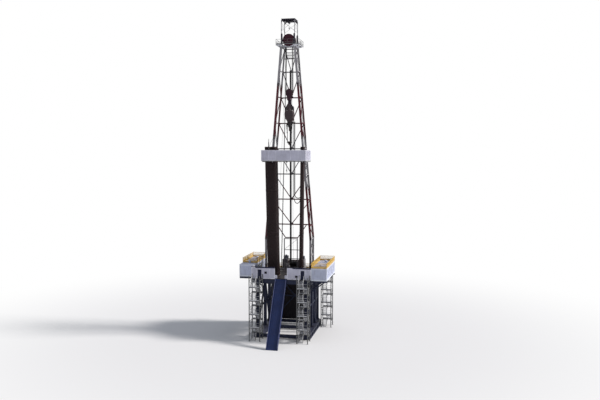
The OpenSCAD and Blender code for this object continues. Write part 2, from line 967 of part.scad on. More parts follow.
module pipe_stands_right() {
  color("#2c2426")
    for (k = [0 : right_rows - 1])
      for (i = [0 : 2])
        stand(1580 + 125 * i, 1730 + 125 * i, row_y(k + 1), 50);
}

// Lines and hose
module drilling_lines() {
  color("#33343a")
    for (i = [0 : line_count - 1]) {
      block_y = sheave_pitch * (i - (line_count - 1) / 2);
      for (s = [-1, 1])
        rod([s * line_offset, block_y, block_spindle],
          [s * line_offset, block_y + s * sheave_pitch / 2, spindle_z], line_radius, 13);
    }
}

module fast_line() {
  color("#33343a")
    rod([0, fast_foot_y, drum_z], [0, fast_top_y, spindle_z], line_radius, 13);
}

hose_route = [[1130, 620, 17200], [1130, 620, 16000], [1130, 618, 15200], [1124, 608, 14800],
  [1085, 578, 14450], [1000, 532, 14210], [895, 472, 14090], [785, 410, 14050],
  [675, 348, 14090], [570, 288, 14210], [485, 242, 14450], [446, 212, 14800],
  [440, 202, 15200], [440, 200, 16000], [440, 200, 19500], [440, 200, 23250]];

hose_end = hose_route[len(hose_route) - 1];

module tube(route, r, sides) {
  n = len(route);
  rings = [for (i = [0 : n - 1])
    let (a = route[max(i - 1, 0)], b = route[min(i + 1, n - 1)],
      t = (b - a) / norm(b - a), u0 = cross(t, [0, 1, 0]),
      u = u0 / norm(u0), v = cross(t, u))
    for (k = [0 : sides - 1])
      route[i] + r * (u * cos(360 * k / sides) + v * sin(360 * k / sides))];
  polyhedron(points = rings, faces = concat(
    [[for (k = [0 : sides - 1]) k]],
    [[for (k = [sides - 1 : -1 : 0]) (n - 1) * sides + k]],
    [for (i = [0 : n - 2]) for (k = [0 : sides - 1])
      [i * sides + k, (i + 1) * sides + k, (i + 1) * sides + (k + 1) % sides]],
    [for (i = [0 : n - 2]) for (k = [0 : sides - 1])
      [i * sides + k, (i + 1) * sides + (k + 1) % sides, i * sides + (k + 1) % sides]]));
}

module mud_hose() {
  color("#1c1c1f")
    tube(hose_route, hose_radius, 10);
}

// Travelling gear
module travelling_block() {
  z = block_spindle;
  y = sheave_pitch * (line_count - 1) / 2 + 45;
  color("#3d2128") {
    for (y0 = [-y - 40, y])
      front_plate(y0, y0 + 40)
        polygon([[-290, z - 180], [-290, z + 240], [-150, z + 500], [150, z + 500],
          [290, z + 240], [290, z - 180], [200, z - 620], [200, z - 750], [-200, z - 750],
          [-200, z - 620]]);
    translate([0, y + 40, z])
      rotate([90, 0, 0])
        cylinder(h = 2 * y + 80, r = 80, $fn = 32);
    box(-200, 200, -y, y, z - 750, z - 500);
  }
}

module block_sheaves() {
  color("#45343a")
    for (i = [0 : line_count - 1])
      translate([0, sheave_pitch * (i - (line_count - 1) / 2), block_spindle])
        rotate([90, 0, 0])
          spoked_sheave(sheave_radius, groove_radius, 80.5);
}

// Middle line of a bail, from the hook down to the shoulder of the top drive
bail_line = [[60, -200], [95, -300], [190, -430], [300, -610], [380, -800], [420, -970], [430, -1100]];

module hook_and_bail() {
  z = block_spindle - 750;
  color("#4a2a2e") {
    translate([0, 0, z - 350])
      cylinder(h = 350, r = 170, $fn = 32);
    both_sides()
      front_plate(-75, 75)
        polygon(concat([for (p = bail_line) [p[0] - 55, z + p[1]]],
          [for (k = [len(bail_line) - 1 : -1 : 0]) [bail_line[k][0] + 55, z + bail_line[k][1]]]));
  }
}

module top_drive() {
  z = block_spindle - 1850;
  inner = rail_half + rail_gap;
  color("#55292b") {
    intersection() {
      translate([0, 0, z])
        rotate_extrude($fn = 48)
          polygon([[0, 550], [100, 550], [120, 500], [280, 0], [470, 0], [530, -140], [560, -350],
            [545, -620], [460, -860], [320, -1060], [230, -1250], [0, -1250]]);
      box(-600, 600, -330, 300, z - 1250, z + 550);
    }
    both_sides()
      box(inner, inner + 60, 280, rail_back, z - 1150, z - 50);
    translate([hose_end[0], hose_end[1], hose_end[2]])
      cylinder(h = 300, r = hose_radius + 4, $fn = 20);
  }
}

module pipe_handler() {
  z = block_spindle - 3100;
  color("#3a3d44") {
    translate([0, 0, z - 400])
      cylinder(h = 400, r = 240, $fn = 36);
    box(-330, 330, -110, 110, z - 400, z - 200);
    box(-130, 130, -100, 100, z - 570, z - 400);
    both_sides()
      link_pins(120, link_top);
  }
}

// A pin along X with a head that keeps a link on it
module link_pins(x, z) {
  rod([x, 0, z], [280, 0, z], link_pin, 24);
  rod([265, 0, z], [285, 0, z], link_pin + 16, 24);
}

module elevator_links() {
  z = link_top;
  eye = link_pin + 42;
  color("#8b3a22")
    both_sides()
      side_plate(195, 255)
        difference() {
          union() {
            translate([0, z])
              circle(r = eye, $fn = 32);
            translate([0, z - link_length])
              circle(r = eye, $fn = 32);
            translate([-32, z - link_length])
              square([64, link_length]);
          }
          for (h = [0, link_length])
            translate([0, z - h])
              circle(r = link_pin + 0.5, $fn = 32);
        }
}

module elevator() {
  z = link_top - link_length - 225;
  color("#8b3a22")
    difference() {
      union() {
        translate([0, 0, z])
          cylinder(h = 60, r1 = 110, r2 = 150, $fn = 36);
        translate([0, 0, z + 60])
          cylinder(h = 290, r = 150, $fn = 36);
        both_sides() {
          rod([110, 0, z + 225], [185, 0, z + 225], link_pin + 35, 24);
          link_pins(120, z + 225);
        }
        box(-60, 60, -210, -120, z + 100, z + 260);
      }
      translate([0, 0, z - 1])
        cylinder(h = 352, r = 34, $fn = 32);
    }
}

// The piece that is drawn, or all of them

translate([0, well_y, 0]) {
  base_boxes();
  base_spreaders();
  leg_frames();
  rear_bracing();
  rear_screen();
  floor_girders();
  rig_floor();
  rotary_table();
  catwalk_ramp();
  stair_posts();
  stair_landings();
  stair_stringers();
  stair_treads();
  stair_handrails();
  windwalls();
  windwall_caps();
  right_house();
  left_house();
  house_floors();
  house_roofs();
  house_supports();
  roof_railings();
  floor_railings();
  drawworks_frame();
  drawworks_drum();
  mast_feet();
  mast_sides_1();
  mast_sides_2();
  mast_sides_3();
  mast_sides_4();
  mast_sides_5();
  mast_back_2();
  mast_back_3();
  mast_back_4();
  mast_back_5();
  guide_rail();
  standpipe();
  crown_platform();
  crown_railing();
  crown_block_frame();
  crown_sheaves();
  fast_sheave_bracket();
  fast_line_sheave();
  crown_gantry();
  racking_board();
  racking_fingers();
  board_windwalls();
  pipe_stands_left();
  pipe_stands_right();
  drilling_lines();
  fast_line();
  mud_hose();
  travelling_block();
  block_sheaves();
  hook_and_bail();
  top_drive();
  pipe_handler();
  elevator_links();
  elevator();
}
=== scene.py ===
"""Oil drilling rig: finishes, ropes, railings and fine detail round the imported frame.

Every length is in metres, in the frame's own axes: X runs across the rig, the ramp comes down
toward -Y, Z is up and the ground is at zero. Helper coordinates are measured from the well.
"""

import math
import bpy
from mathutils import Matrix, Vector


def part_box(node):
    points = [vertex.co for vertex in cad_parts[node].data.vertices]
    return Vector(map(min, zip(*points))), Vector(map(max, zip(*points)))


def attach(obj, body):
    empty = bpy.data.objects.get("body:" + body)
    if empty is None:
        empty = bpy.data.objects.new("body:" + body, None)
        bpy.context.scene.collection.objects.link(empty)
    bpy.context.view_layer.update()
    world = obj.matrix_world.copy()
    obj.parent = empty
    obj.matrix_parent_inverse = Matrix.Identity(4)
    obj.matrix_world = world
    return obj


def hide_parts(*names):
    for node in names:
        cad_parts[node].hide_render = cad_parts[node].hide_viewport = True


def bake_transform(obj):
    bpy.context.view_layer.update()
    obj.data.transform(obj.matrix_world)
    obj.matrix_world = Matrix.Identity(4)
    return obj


bl_info = {
    "name": "Drilling Rig Dresser",
    "version": (1, 0, 0),
    "blender": (4, 5, 0),
    "location": "3D Viewport > Sidebar > Drilling Rig",
    "description": "Adds finishes, ropes, railings and machinery detail to a drilling rig frame",
    "category": "Object",
}

from itertools import accumulate

import bmesh
import bpy
from mathutils import Matrix, Vector

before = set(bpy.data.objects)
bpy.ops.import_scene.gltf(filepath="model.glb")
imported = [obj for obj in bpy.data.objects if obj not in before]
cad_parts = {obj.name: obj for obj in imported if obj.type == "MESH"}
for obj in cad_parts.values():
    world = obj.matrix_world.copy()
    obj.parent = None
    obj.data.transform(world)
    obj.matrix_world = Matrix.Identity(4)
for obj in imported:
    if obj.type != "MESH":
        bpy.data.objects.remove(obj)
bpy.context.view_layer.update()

RIG = "rig"
GEAR = "travelling_gear"


def middle(node):
    """The middle of a CAD node."""
    low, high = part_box(node)
    return (low + high) / 2


# Read from the frame
WELL_Y = middle("rotary_table").y
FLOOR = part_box("rig_floor")[1].z
FLOOR_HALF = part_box("rig_floor")[1].x
FLOOR_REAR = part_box("rig_floor")[1].y - WELL_Y
CROWN_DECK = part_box("crown_platform")[1].z
CROWN_SPINDLE = middle("crown_sheaves").z
BLOCK_SPINDLE = middle("block_sheaves").z
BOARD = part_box("racking_board")[1].z

# Mast
MAST_HALF = 2.475  # from the middle of the rig to the middle line of a leg
MAST_FOOT = 6.55
MAST_KNEE = 10.3
MAST_TOP = 31.0
MAST_SLOPE = 1.725 / 20.7  # how far a leg leans in for each metre above the knee
MAST_JOINTS = (MAST_KNEE, 15.8, 21.3, 26.95)
BACK_BEAMS = tuple(11.65 + 2.8 * n for n in range(7))
FRONT_LEG_Y = -0.75
REAR_LEG_Y = 1.05
LEGS = ((FRONT_LEG_Y, 0.1), (REAR_LEG_Y, 0.08))  # middle and half width

# Ropes and hoses
LINE_OUT = 0.372  # from a fall of line to the middle of its sheave
LINE_RADIUS = 0.0145
TURN_RADIUS = 0.0115
STRAND_HOLLOW = 0.80  # depth between two strands, as a share of the rope's radius
SHEAVE_PITCH = 0.084
CROWN_SHEAVES = 7
BLOCK_SHEAVES = 6
SHEAVE_RIM, SHEAVE_GROOVE = 0.382, 0.3615
FAST_SHEAVE_Y = 0.87
DEAD_LINE_X = -1.6
HOSE_RADIUS = 0.04  # the mud hose, from the standpipe to the top drive
HOSE_ROUTE = (
    (1.13, 0.62, 17.2), (1.13, 0.62, 16.0), (1.13, 0.618, 15.2), (1.124, 0.608, 14.8), (1.085, 0.578, 14.45),
    (1.0, 0.532, 14.21), (0.895, 0.472, 14.09), (0.785, 0.41, 14.05), (0.675, 0.348, 14.09), (0.57, 0.288, 14.21),
    (0.485, 0.242, 14.45), (0.446, 0.212, 14.8), (0.44, 0.202, 15.2), (0.44, 0.2, 16.0), (0.44, 0.2, 19.5),
    (0.44, 0.2, 23.25),
)
SERVICE_RADIUS = 0.043
SERVICE_ENDS = (Vector((1.25, 0.50, 16.9)), Vector((0.54, 0.265, 22.95)))
SERVICE_LOOP = 15.0  # height at which the half circle of its loop begins

# Stairs, walls and substructure
STAIR_TOWERS = ((2.53, -4.3), (-2.53, -4.3), (3.8, 3.05))
STAIR_FRONT, STAIR_REAR = -1.05, -0.3  # ends of a flight, from the rear of its tower
STAIR_FLIGHTS = 9
STEP_UP = 6.4 / STAIR_FLIGHTS
RAIL_HEIGHT = 0.55
RACK_FRONT, RACK_PITCH = -2.5, 0.185  # first row of stands, and from row to row
WALL_FACE = -4.3
RAMP_HEAD, RAMP_FOOT = Vector((0, WALL_FACE, 6.4)), Vector((0, -8.5, 0.0))
LEG_ROWS = (-3.95, -0.75, 1.2, 2.95)
LEG_LINE = 2.6  # middle line of the substructure's legs
BASE_TOP = 0.6
LEG_TOP = 5.9
GIRDER_LOW, GIRDER_HIGH = 5.92, 6.33

SIDES = (-1, 1)
RIGHT, BACK, UP = Vector((1, 0, 0)), Vector((0, 1, 0)), Vector((0, 0, 1))
PLANES = {"xz": (RIGHT, UP), "yz": (BACK, UP), "xy": (RIGHT, BACK)}
TURNING = {"x": (BACK, UP, RIGHT), "y": (UP, RIGHT, BACK), "z": (RIGHT, BACK, UP)}


def span(node):
    """Corners of a CAD node, in well coordinates."""
    low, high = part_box(node)
    shift = Vector((0, WELL_Y, 0))
    return low - shift, high - shift


def leg_x(z):
    """Distance from the middle of the rig to the middle line of a mast leg at a height."""
    return MAST_HALF - max(0.0, z - MAST_KNEE) * MAST_SLOPE


def leaning(side, z):
    """Places a shape drawn round the origin on a mast leg at a height, square to the leg."""
    tilt = 0.0 if z < MAST_KNEE else -side * math.atan(MAST_SLOPE)
    return Matrix.Translation((side * leg_x(z), 0, z)) @ Matrix.Rotation(tilt, 4, "Y")


def left_over(low, high, cuts):
    """The lengths of low..high that the cuts leave."""
    edge = low
    for a, b in sorted(cuts):
        if a > edge:
            yield edge, min(a, high)
        edge = max(edge, b)
    if edge < high:
        yield edge, high


def steps(low, high, pitch):
    """Evenly spaced middles of the bays between low and high."""
    count = max(1, round((high - low) / pitch))
    return [low + (k + 0.5) * (high - low) / count for k in range(count)]


def arc(centre, radius, first, last, plane="xz", count=12):
    """Points on an arc, angles in degrees measured from the plane's first axis."""
    u, v = PLANES[plane]
    angles = [math.radians(first + (last - first) * k / count) for k in range(count + 1)]
    return [Vector(centre) + (u * math.cos(a) + v * math.sin(a)) * radius for a in angles]


def ring(centre, radius, count, plane="xz", first=0):
    """Evenly spaced points on a whole circle."""
    return arc(centre, radius, first, first + 360, plane, count)[:-1]


def sheave_rows(count):
    """Where the sheaves of a block stand along its spindle."""
    return [SHEAVE_PITCH * (k - (count - 1) / 2) for k in range(count)]


def at_angle(centre, radius, angle):
    """One point on a circle that faces the front."""
    return arc(centre, radius, angle, angle, count=1)[0]


def resampled(route, step):
    """The route again with points no further apart than a step."""
    fine = [Vector(route[0])]
    for a, b in zip(route, route[1:]):
        a, b = Vector(a), Vector(b)
        count = max(1, math.ceil((b - a).length / step))
        fine.extend(a.lerp(b, k / count) for k in range(1, count + 1))
    return fine


def smooth_route(points, parts):
    """A rounder route through the points."""
    out = []
    for i in range(len(points) - 1):
        p0, p1 = points[max(i - 1, 0)], points[i]
        p2, p3 = points[i + 1], points[min(i + 2, len(points) - 1)]
        for k in range(parts):
            t = k / parts
            out.append(0.5 * ((2 * p1) + (p2 - p0) * t + (2 * p0 - 5 * p1 + 4 * p2 - p3) * t * t
                              + (3 * p1 - p0 - 3 * p2 + p3) * t * t * t))
    return [*out, points[-1]]


def swept(route, normal, sides, place):
    """Rings of points along a route: place(i, k) gives a point's turn round it and its distance."""
    points = []
    for i, p in enumerate(route):
        along = (route[min(i + 1, len(route) - 1)] - route[max(i - 1, 0)]).normalized()
        normal = normal - along * normal.dot(along)
        if normal.length < 1e-3:
            normal = along.cross(RIGHT)
        normal.normalize()
        across = along.cross(normal)
        for k in range(sides):
            turn, reach = place(i, k)
            angle = 2 * math.pi * turn
            points.append(p + (normal * math.cos(angle) + across * math.sin(angle)) * reach)
    return points


def swept_faces(count, sides):
    """The faces between rings of points that follow each other."""
    corners = ((i * sides + k, i * sides + (k + 1) % sides) for i in range(count - 1) for k in range(sides))
    return [(a, b, b + sides, a + sides) for a, b in corners]


class Shape:
    """Collects vertices and faces of one piece, in well coordinates, and makes its mesh object."""

    def __init__(self):
        self.points, self.faces, self.slots, self.smooth = [], [], [], []
        self.slot = 0
        self.turn = None

    def add(self, points, faces, smooth=False, caps=()):
        """Adds points with the faces and the flat caps over them."""
        start = len(self.points)
        if self.turn is not None:
            points = [self.turn @ Vector(p) for p in points]
        self.points.extend(tuple(p) for p in points)
        for group, rounded in ((faces, smooth), (caps, False)):
            self.faces.extend(tuple(start + i for i in face) for face in group)
            self.slots.extend([self.slot] * len(group))
            self.smooth.extend([rounded] * len(group))

    def box(self, low, high):
        """A box between two opposite corners, in any order."""
        (x0, x1), (y0, y1), (z0, z1) = (sorted(pair) for pair in zip(low, high))
        points = [(x, y, z) for z in (z0, z1) for y in (y0, y1) for x in (x0, x1)]
        self.add(points, [(0, 2, 3, 1), (4, 5, 7, 6), (0, 1, 5, 4), (2, 6, 7, 3), (0, 4, 6, 2), (1, 3, 7, 5)])

    def block(self, x, y, half_x, half_y, low, high):
        """A box centred on x and y, between two heights."""
        self.box((x - half_x, y - half_y, low), (x + half_x, y + half_y, high))

    def slab(self, axis, t0, t1, a0, a1, z0, z1):
        """A box whose thickness runs along axis x or y."""
        low, high = ((a0, t0, z0), (a1, t1, z1)) if axis == "y" else ((t0, a0, z0), (t1, a1, z1))
        self.box(low, high)

    def prism(self, a, b, side, up):
        """A straight bar from a to b with a section of side by up."""
        section = [(side * u + up * v) / 2 for u, v in ((-1, -1), (1, -1), (1, 1), (-1, 1))]
        around = [(i, (i + 1) % 4, 4 + (i + 1) % 4, 4 + i) for i in range(4)]
        self.add([end + corner for end in (a, b) for corner in section], [(3, 2, 1, 0), (4, 5, 6, 7), *around])

    def bar(self, a, b, wide, deep):
        """A square bar from a to b: wide across the plane of its run, deep out of it."""
        a, b = Vector(a), Vector(b)
        along = (b - a).normalized()
        side = along.cross(UP)
        side = side.normalized() if side.length > 1e-6 else RIGHT
        self.prism(a, b, side * deep, side.cross(along) * wide)

    def h_beam(self, a, b, wide, deep, thick=0.012, apart=UP):
        """An H section from a to b: flanges of this width, set this far apart along a direction."""
        a, b, apart = Vector(a), Vector(b), Vector(apart)
        along = (b - a).normalized()
        apart = (apart - along * apart.dot(along)).normalized()
        side = along.cross(apart)
        offset = apart * ((deep - thick) / 2)
        for shift, u, v in ((offset, wide, thick), (-offset, wide, thick), (Vector(), thick, deep - 2 * thick)):
            self.prism(a + shift, b + shift, side * u, apart * v)

    def tube(self, route, radius, sides=8, caps=True):
        """A round tube along a list of points. radius may be one number or one for each point."""
        route = [Vector(p) for p in route]
        radii = radius if hasattr(radius, "__len__") else [radius] * len(route)
        start = (route[1] - route[0]).normalized()
        normal = start.cross(BACK)
        if normal.length < 1e-3:
            normal = start.cross(RIGHT)
        points = swept(route, normal.normalized(), sides, lambda i, k: (k / sides, radii[i]))
        last = len(points)
        ends = (range(sides - 1, -1, -1), range(last - sides, last)) if caps else ()
        self.add(points, swept_faces(len(route), sides), sides > 5, ends)

    def rod(self, a, b, radius, sides=8):
        self.tube([a, b], radius, sides)

    def rope(self, route, radius, lay=0.24, step=0.035):
        """Wire rope: a lobe for each strand, twisted along the route."""
        sides = 2 * sizes().strand_count
        route = resampled(route, step)
        runs = [0.0, *accumulate((b - a).length for a, b in zip(route, route[1:]))]
        points = swept(route, BACK, sides, lambda i, k: (
            k / sides + runs[i] / lay, radius * (1.0 if k % 2 else STRAND_HOLLOW)))
        self.add(points, swept_faces(len(route), sides), smooth=True)

    def lathe(self, profile, centre, axis="z", sides=32, hole=False):
        """Turns (radius, height) pairs about an axis through centre. A ring with a hole closes on itself."""
        centre, count = Vector(centre), len(profile)
        u, v, w = TURNING[axis]
        points = []
        for k in range(sides):
            angle = 2 * math.pi * k / sides
            out = u * math.cos(angle) + v * math.sin(angle)
            points.extend(centre + out * r + w * h for r, h in profile)
        faces = []
        for k in range(sides):
            here, there = k * count, (k + 1) % sides * count
            for i in range(count if hole else count - 1):
                j = (i + 1) % count
                faces.append((here + i, there + i, there + j, here + j))
        caps = []
        for i, order in () if hole else ((0, range(sides - 1, -1, -1)), (count - 1, range(sides))):
            if profile[i][0] > 1e-6:
                caps.append([k * count + i for k in order])
        self.add(points, faces, True, caps)

    def disc(self, radius, thick, centre, axis="z", sides=20):
        """A plain disc or collar whose thickness runs both ways from centre."""
        self.lathe([(radius, -thick), (radius, thick)], centre, axis, sides)

    def plate(self, outline, low, high, axis="y"):
        """A flat plate: outline in the two other axes, given thickness from low to high along axis."""
        n = len(outline)
        following = [*outline[1:], outline[0]]
        area = sum(a * d - c * b for (a, b), (c, d) in zip(outline, following))
        outline = outline if area > 0 else outline[::-1]
        place = {
            "x": lambda a, b, t: (t, a, b),
            "y": lambda a, b, t: (a, t, b),
            "z": lambda a, b, t: (a, b, t),
        }[axis]
        points = [place(a, b, t) for t in (low, high) for a, b in outline]
        sides = [(i, (i + 1) % n, n + (i + 1) % n, n + i) for i in range(n)]
        faces = [tuple(range(n - 1, -1, -1)), tuple(range(n, 2 * n)), *sides]
        self.add(points, [face[::-1] for face in faces] if axis == "y" else faces)

    def bolts(self, centres, radius, height, axis="y"):
        """Bolt heads that stand out along an axis."""
        for centre in centres:
            self.lathe([(radius, 0), (radius, height * 0.8), (radius * 0.8, height)], centre, axis, 6)

    def wall(self, axis, inner, face, start, end, low, high, holes=(), rib=0.012, pitch=0.1, border=0.08):
        """A framed sheet wall: holes are (from, to, bottom, top), borders go in the second slot."""
        out = 1 if face > inner else -1
        skin = face - out * rib
        marks = sorted({start, end, *(v for hole in holes for v in hole[:2])})
        for a0, a1 in zip(marks, marks[1:]):
            cuts = [hole[2:] for hole in holes if hole[0] < (a0 + a1) / 2 < hole[1]]
            for z0, z1 in left_over(low, high, cuts):
                self.slab(axis, inner, skin, a0, a1, z0, z1)
        for a in steps(start + border, end - border, pitch):
            cuts = [(h[2] - border, h[3] + border) for h in holes if h[0] - border < a < h[1] + border]
            for z0, z1 in left_over(low + border, high - border, cuts):
                self.slab(axis, skin, face - out * 0.001, a - 0.27 * pitch, a + 0.27 * pitch, z0, z1)
        self.slot = 1
        near = inner - out * 0.004
        for z0 in (low, high - border):
            for a0, a1 in left_over(start, end, [h[:2] for h in holes if h[2] < z0 + border and h[3] > z0]):
                self.slab(axis, near, face, a0, a1, z0, z0 + border)
        for a0 in (start, end - border):
            self.slab(axis, near, face, a0, a0 + border, low + border, high - border)
        edge = 0.035
        for a0, a1, z0, z1 in holes:
            self.slot = 2 if z0 > low else 1
            for a in (a0 - edge, a1):
                self.slab(axis, near, face, a, a + edge, max(z0 - edge, low), z1 + edge)
            self.slab(axis, near, face, a0, a1, z1, z1 + edge)
            if z0 > low:
                self.slab(axis, near, face, a0, a1, z0 - edge, z0)
        self.slot = 0

    def railing(self, route, height=RAIL_HEIGHT, spacing=1.1, toe=0.16, wires=0.0):
        """A railing over a level route: posts with feet, two tubes, a toe board and wire infill."""
        r = sizes().rail_radius
        for a, b in zip(route, route[1:]):
            a, b = Vector(a), Vector(b)
            run = (b - a).length
            posts = max(1, round(run / spacing))
            for i in range(posts + 1):
                p = a.lerp(b, i / posts)
                self.rod(p, p + UP * height, r)
                self.block(p.x, p.y, 0.02, 0.02, p.z, p.z + 0.008)
            for row in (0.5, 1.0):
                lift = UP * (height * row - r)
                self.rod(a + lift, b + lift, r)
            lift = UP * (toe / 2 + 0.012)
            self.bar(a + lift, b + lift, toe, 0.006)
            for s in steps(0, run, wires) if wires else ():
                p = a.lerp(b, s / run)
                self.tube([p + UP * toe, p + UP * (height - r)], 0.005, 4, caps=False)
            for z in steps(toe, height, wires) if wires else ():
                self.tube([a + UP * z, b + UP * z], 0.005, 4, caps=False)

    def grating(self, low, high, along="x", pitch=0.03, cross=0.12, holes=()):
        """Bar grating between two corners; holes are (x0, y0, x1, y1)."""
        (x0, y0, z0), (x1, y1, z1) = low, high
        across = "y" if along == "x" else "x"
        a0, a1, b0, b1 = (x0, x1, y0, y1) if along == "x" else (y0, y1, x0, x1)
        cuts = holes if along == "x" else [(h[1], h[0], h[3], h[2]) for h in holes]
        for b in steps(b0, b1, pitch):
            for s, e in left_over(a0, a1, [(h[0], h[2]) for h in cuts if h[1] < b < h[3]]):
                self.slab(across, b - 0.0025, b + 0.0025, s, e, z0, z1)
        for a in steps(a0, a1, cross):
            for s, e in left_over(b0, b1, [(h[1], h[3]) for h in cuts if h[0] < a < h[2]]):
                self.slab(across, s, e, a - 0.003, a + 0.003, z1 - 0.012, z1 - 0.002)
        for b in (b0, b1 - 0.006):
            self.slab(across, b, b + 0.006, a0, a1, z0, z1)
        for a in (a0, a1 - 0.006):
            self.slab(across, b0 + 0.006, b1 - 0.006, a, a + 0.006, z0, z1)

    def make(self, name, finishes, body=RIG, bevel=0.0, stands_for=None, blend=None):
        """Makes the mesh object, with its finishes, its body and the CAD node that it stands for."""
        mesh = bpy.data.meshes.new(name)
        mesh.from_pydata([(x, y + WELL_Y, z) for x, y, z in self.points], [], self.faces)
        mesh.polygons.foreach_set("material_index", self.slots)
        mesh.polygons.foreach_set("use_smooth", self.smooth)
        outward = bmesh.new()
        outward.from_mesh(mesh)
        bmesh.ops.recalc_face_normals(outward, faces=outward.faces)
        outward.to_mesh(mesh)
        outward.free()
        thing = bpy.data.objects.new(name, mesh)
        bpy.context.scene.collection.objects.link(thing)
        for key in (finishes,) if isinstance(finishes, str) else finishes:
            mesh.materials.append(paint(key))
        if bevel:
            round_edges = thing.modifiers.new("edges", "BEVEL")
            round_edges.width = bevel
            round_edges.segments = 1
            round_edges.limit_method = "ANGLE"
            round_edges.angle_limit = math.radians(50)
        if blend:
            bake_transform(thing)
        else:
            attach(thing, body)
        if stands_for:
            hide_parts(stands_for)
        return thing


# Shader node groups shared by the materials

SOCKETS = {type(None): "NodeSocketVector", tuple: "NodeSocketColor", float: "NodeSocketFloat"}
SURFACE_OUT = ("Color", "Roughness", "Height")


def new_group(name, inputs, outputs):
    """A shader node group with named sockets, and a short way to add and link its nodes."""
    group = bpy.data.node_groups.get(name)
    if group:
        return group, None
    group = bpy.data.node_groups.new(name, "ShaderNodeTree")
    for socket, value in inputs.items():
        made = group.interface.new_socket(socket, in_out="INPUT", socket_type=SOCKETS[type(value)])
        if value is not None:
            made.default_value = value
    for socket in outputs:
        kind = SOCKETS[tuple if socket == "Color" else float]
        group.interface.new_socket(socket, in_out="OUTPUT", socket_type=kind)
    return group, Wiring(group)


class Wiring:
    """Adds nodes to a node tree and links their sockets by name."""

    def __init__(self, tree):
        self.tree = tree

    def node(self, kind, inputs=None, **settings):
        made = self.tree.nodes.new(kind)
        for key, value in settings.items():
            setattr(made, key, value)
        for key, value in (inputs or {}).items():
            self.feed(made, key, value)
        return made

    def feed(self, node, key, value):
        if isinstance(value, bpy.types.NodeSocket):
            self.tree.links.new(value, node.inputs[key])
        else:
            node.inputs[key].default_value = value

    def group(self, group, inputs):
        return self.node("ShaderNodeGroup", inputs, node_tree=group).outputs

    def object_place(self):
        return self.node("ShaderNodeTexCoord").outputs["Object"]

    def math(self, operation, a, b=0.5, c=0.5, clamp=False):
        return self.node("ShaderNodeMath", {0: a, 1: b, 2: c}, operation=operation, use_clamp=clamp).outputs[0]

    def times(self, a, b, clamp=False):
        return self.math("MULTIPLY", a, b, clamp=clamp)

    def ramp(self, value, low, high, to_low=0.0, to_high=1.0):
        limits = {"Value": value, "From Min": low, "From Max": high, "To Min": to_low, "To Max": to_high}
        return self.node("ShaderNodeMapRange", limits, interpolation_type="SMOOTHSTEP").outputs[0]

    def mix(self, factor, a, b, mode="MIX"):
        return self.node("ShaderNodeMix", data_type="RGBA", blend_type=mode, inputs={0: factor, 6: a, 7: b}).outputs[2]

    def noise(self, vector, scale, detail=3.0, rough=0.55):
        look = {"Vector": vector, "Scale": scale, "Detail": detail, "Roughness": rough}
        return self.node("ShaderNodeTexNoise", look).outputs[0]

    def stretched(self, vector, scale):
        return self.node("ShaderNodeMapping", {"Vector": vector, "Scale": scale}).outputs[0]

    def scaled(self, vector, scale):
        return self.node("ShaderNodeVectorMath", {0: vector, "Scale": scale}, operation="SCALE").outputs[0]

    def seen_directly(self):
        """1 where the camera, a mirror or a pane shows the surface, 0 where it only lights others."""
        path = self.node("ShaderNodeLightPath").outputs
        through = self.math("MAXIMUM", path["Is Glossy Ray"], path["Is Transmission Ray"])
        return self.math("MAXIMUM", path["Is Camera Ray"], through)


def weathered_paint():
    """Paint with uneven tone, dust, streaks running down and chips that show the metal below."""
    group, w = new_group("Weathered Paint", {
        "Vector": None, "Paint": (0.5, 0.5, 0.5, 1), "Dust": (0.42, 0.36, 0.30, 1), "Bare": (0.10, 0.06, 0.045, 1),
        "Grain": 1.0, "Dust Amount": 0.3, "Streaks": 0.4, "Chips": 0.4,
    }, SURFACE_OUT)
    if w is None:
        return group
    i = w.node("NodeGroupInput").outputs
    place = w.scaled(i["Vector"], i["Grain"])
    broad = w.noise(place, 0.9, 4.0)
    fine = w.noise(place, 14.0, 5.0, 0.65)
    runs = w.noise(w.stretched(place, (9.0, 9.0, 0.55)), 1.6, 4.0, 0.6)
    tone = w.ramp(broad, 0.3, 0.7, 0.86, 1.08)
    grey = w.node("ShaderNodeCombineColor", {0: tone, 1: tone, 2: tone}).outputs[0]
    painted_over = w.mix(1.0, i["Paint"], grey, "MULTIPLY")
    up = w.node("ShaderNodeSeparateXYZ", {0: w.node("ShaderNodeNewGeometry").outputs["Normal"]}).outputs[2]
    settled = w.math("MULTIPLY_ADD", w.ramp(up, 0.2, 0.9), 0.6, 0.35)
    patchy = w.times(settled, w.ramp(fine, 0.35, 0.7))
    dusty = w.mix(w.times(patchy, i["Dust Amount"], True), painted_over, i["Dust"])
    streak = w.times(w.ramp(runs, 0.52, 0.72), i["Streaks"], True)
    streaked = w.mix(w.times(streak, 0.55), dusty, i["Bare"])
    flakes = w.times(w.ramp(w.noise(place, 5.5, 7.0, 0.72), 0.62, 0.68), w.ramp(broad, 0.42, 0.6))
    chips = w.times(flakes, i["Chips"], True)
    rough = w.math("ADD", w.ramp(fine, 0.3, 0.7, 0.36, 0.62), w.times(chips, 0.25), clamp=True)
    height = w.math("SUBTRACT", w.times(fine, 0.25), chips)
    colour = w.mix(chips, streaked, i["Bare"])
    w.node("NodeGroupOutput", {"Color": colour, "Roughness": rough, "Height": height})
    return group


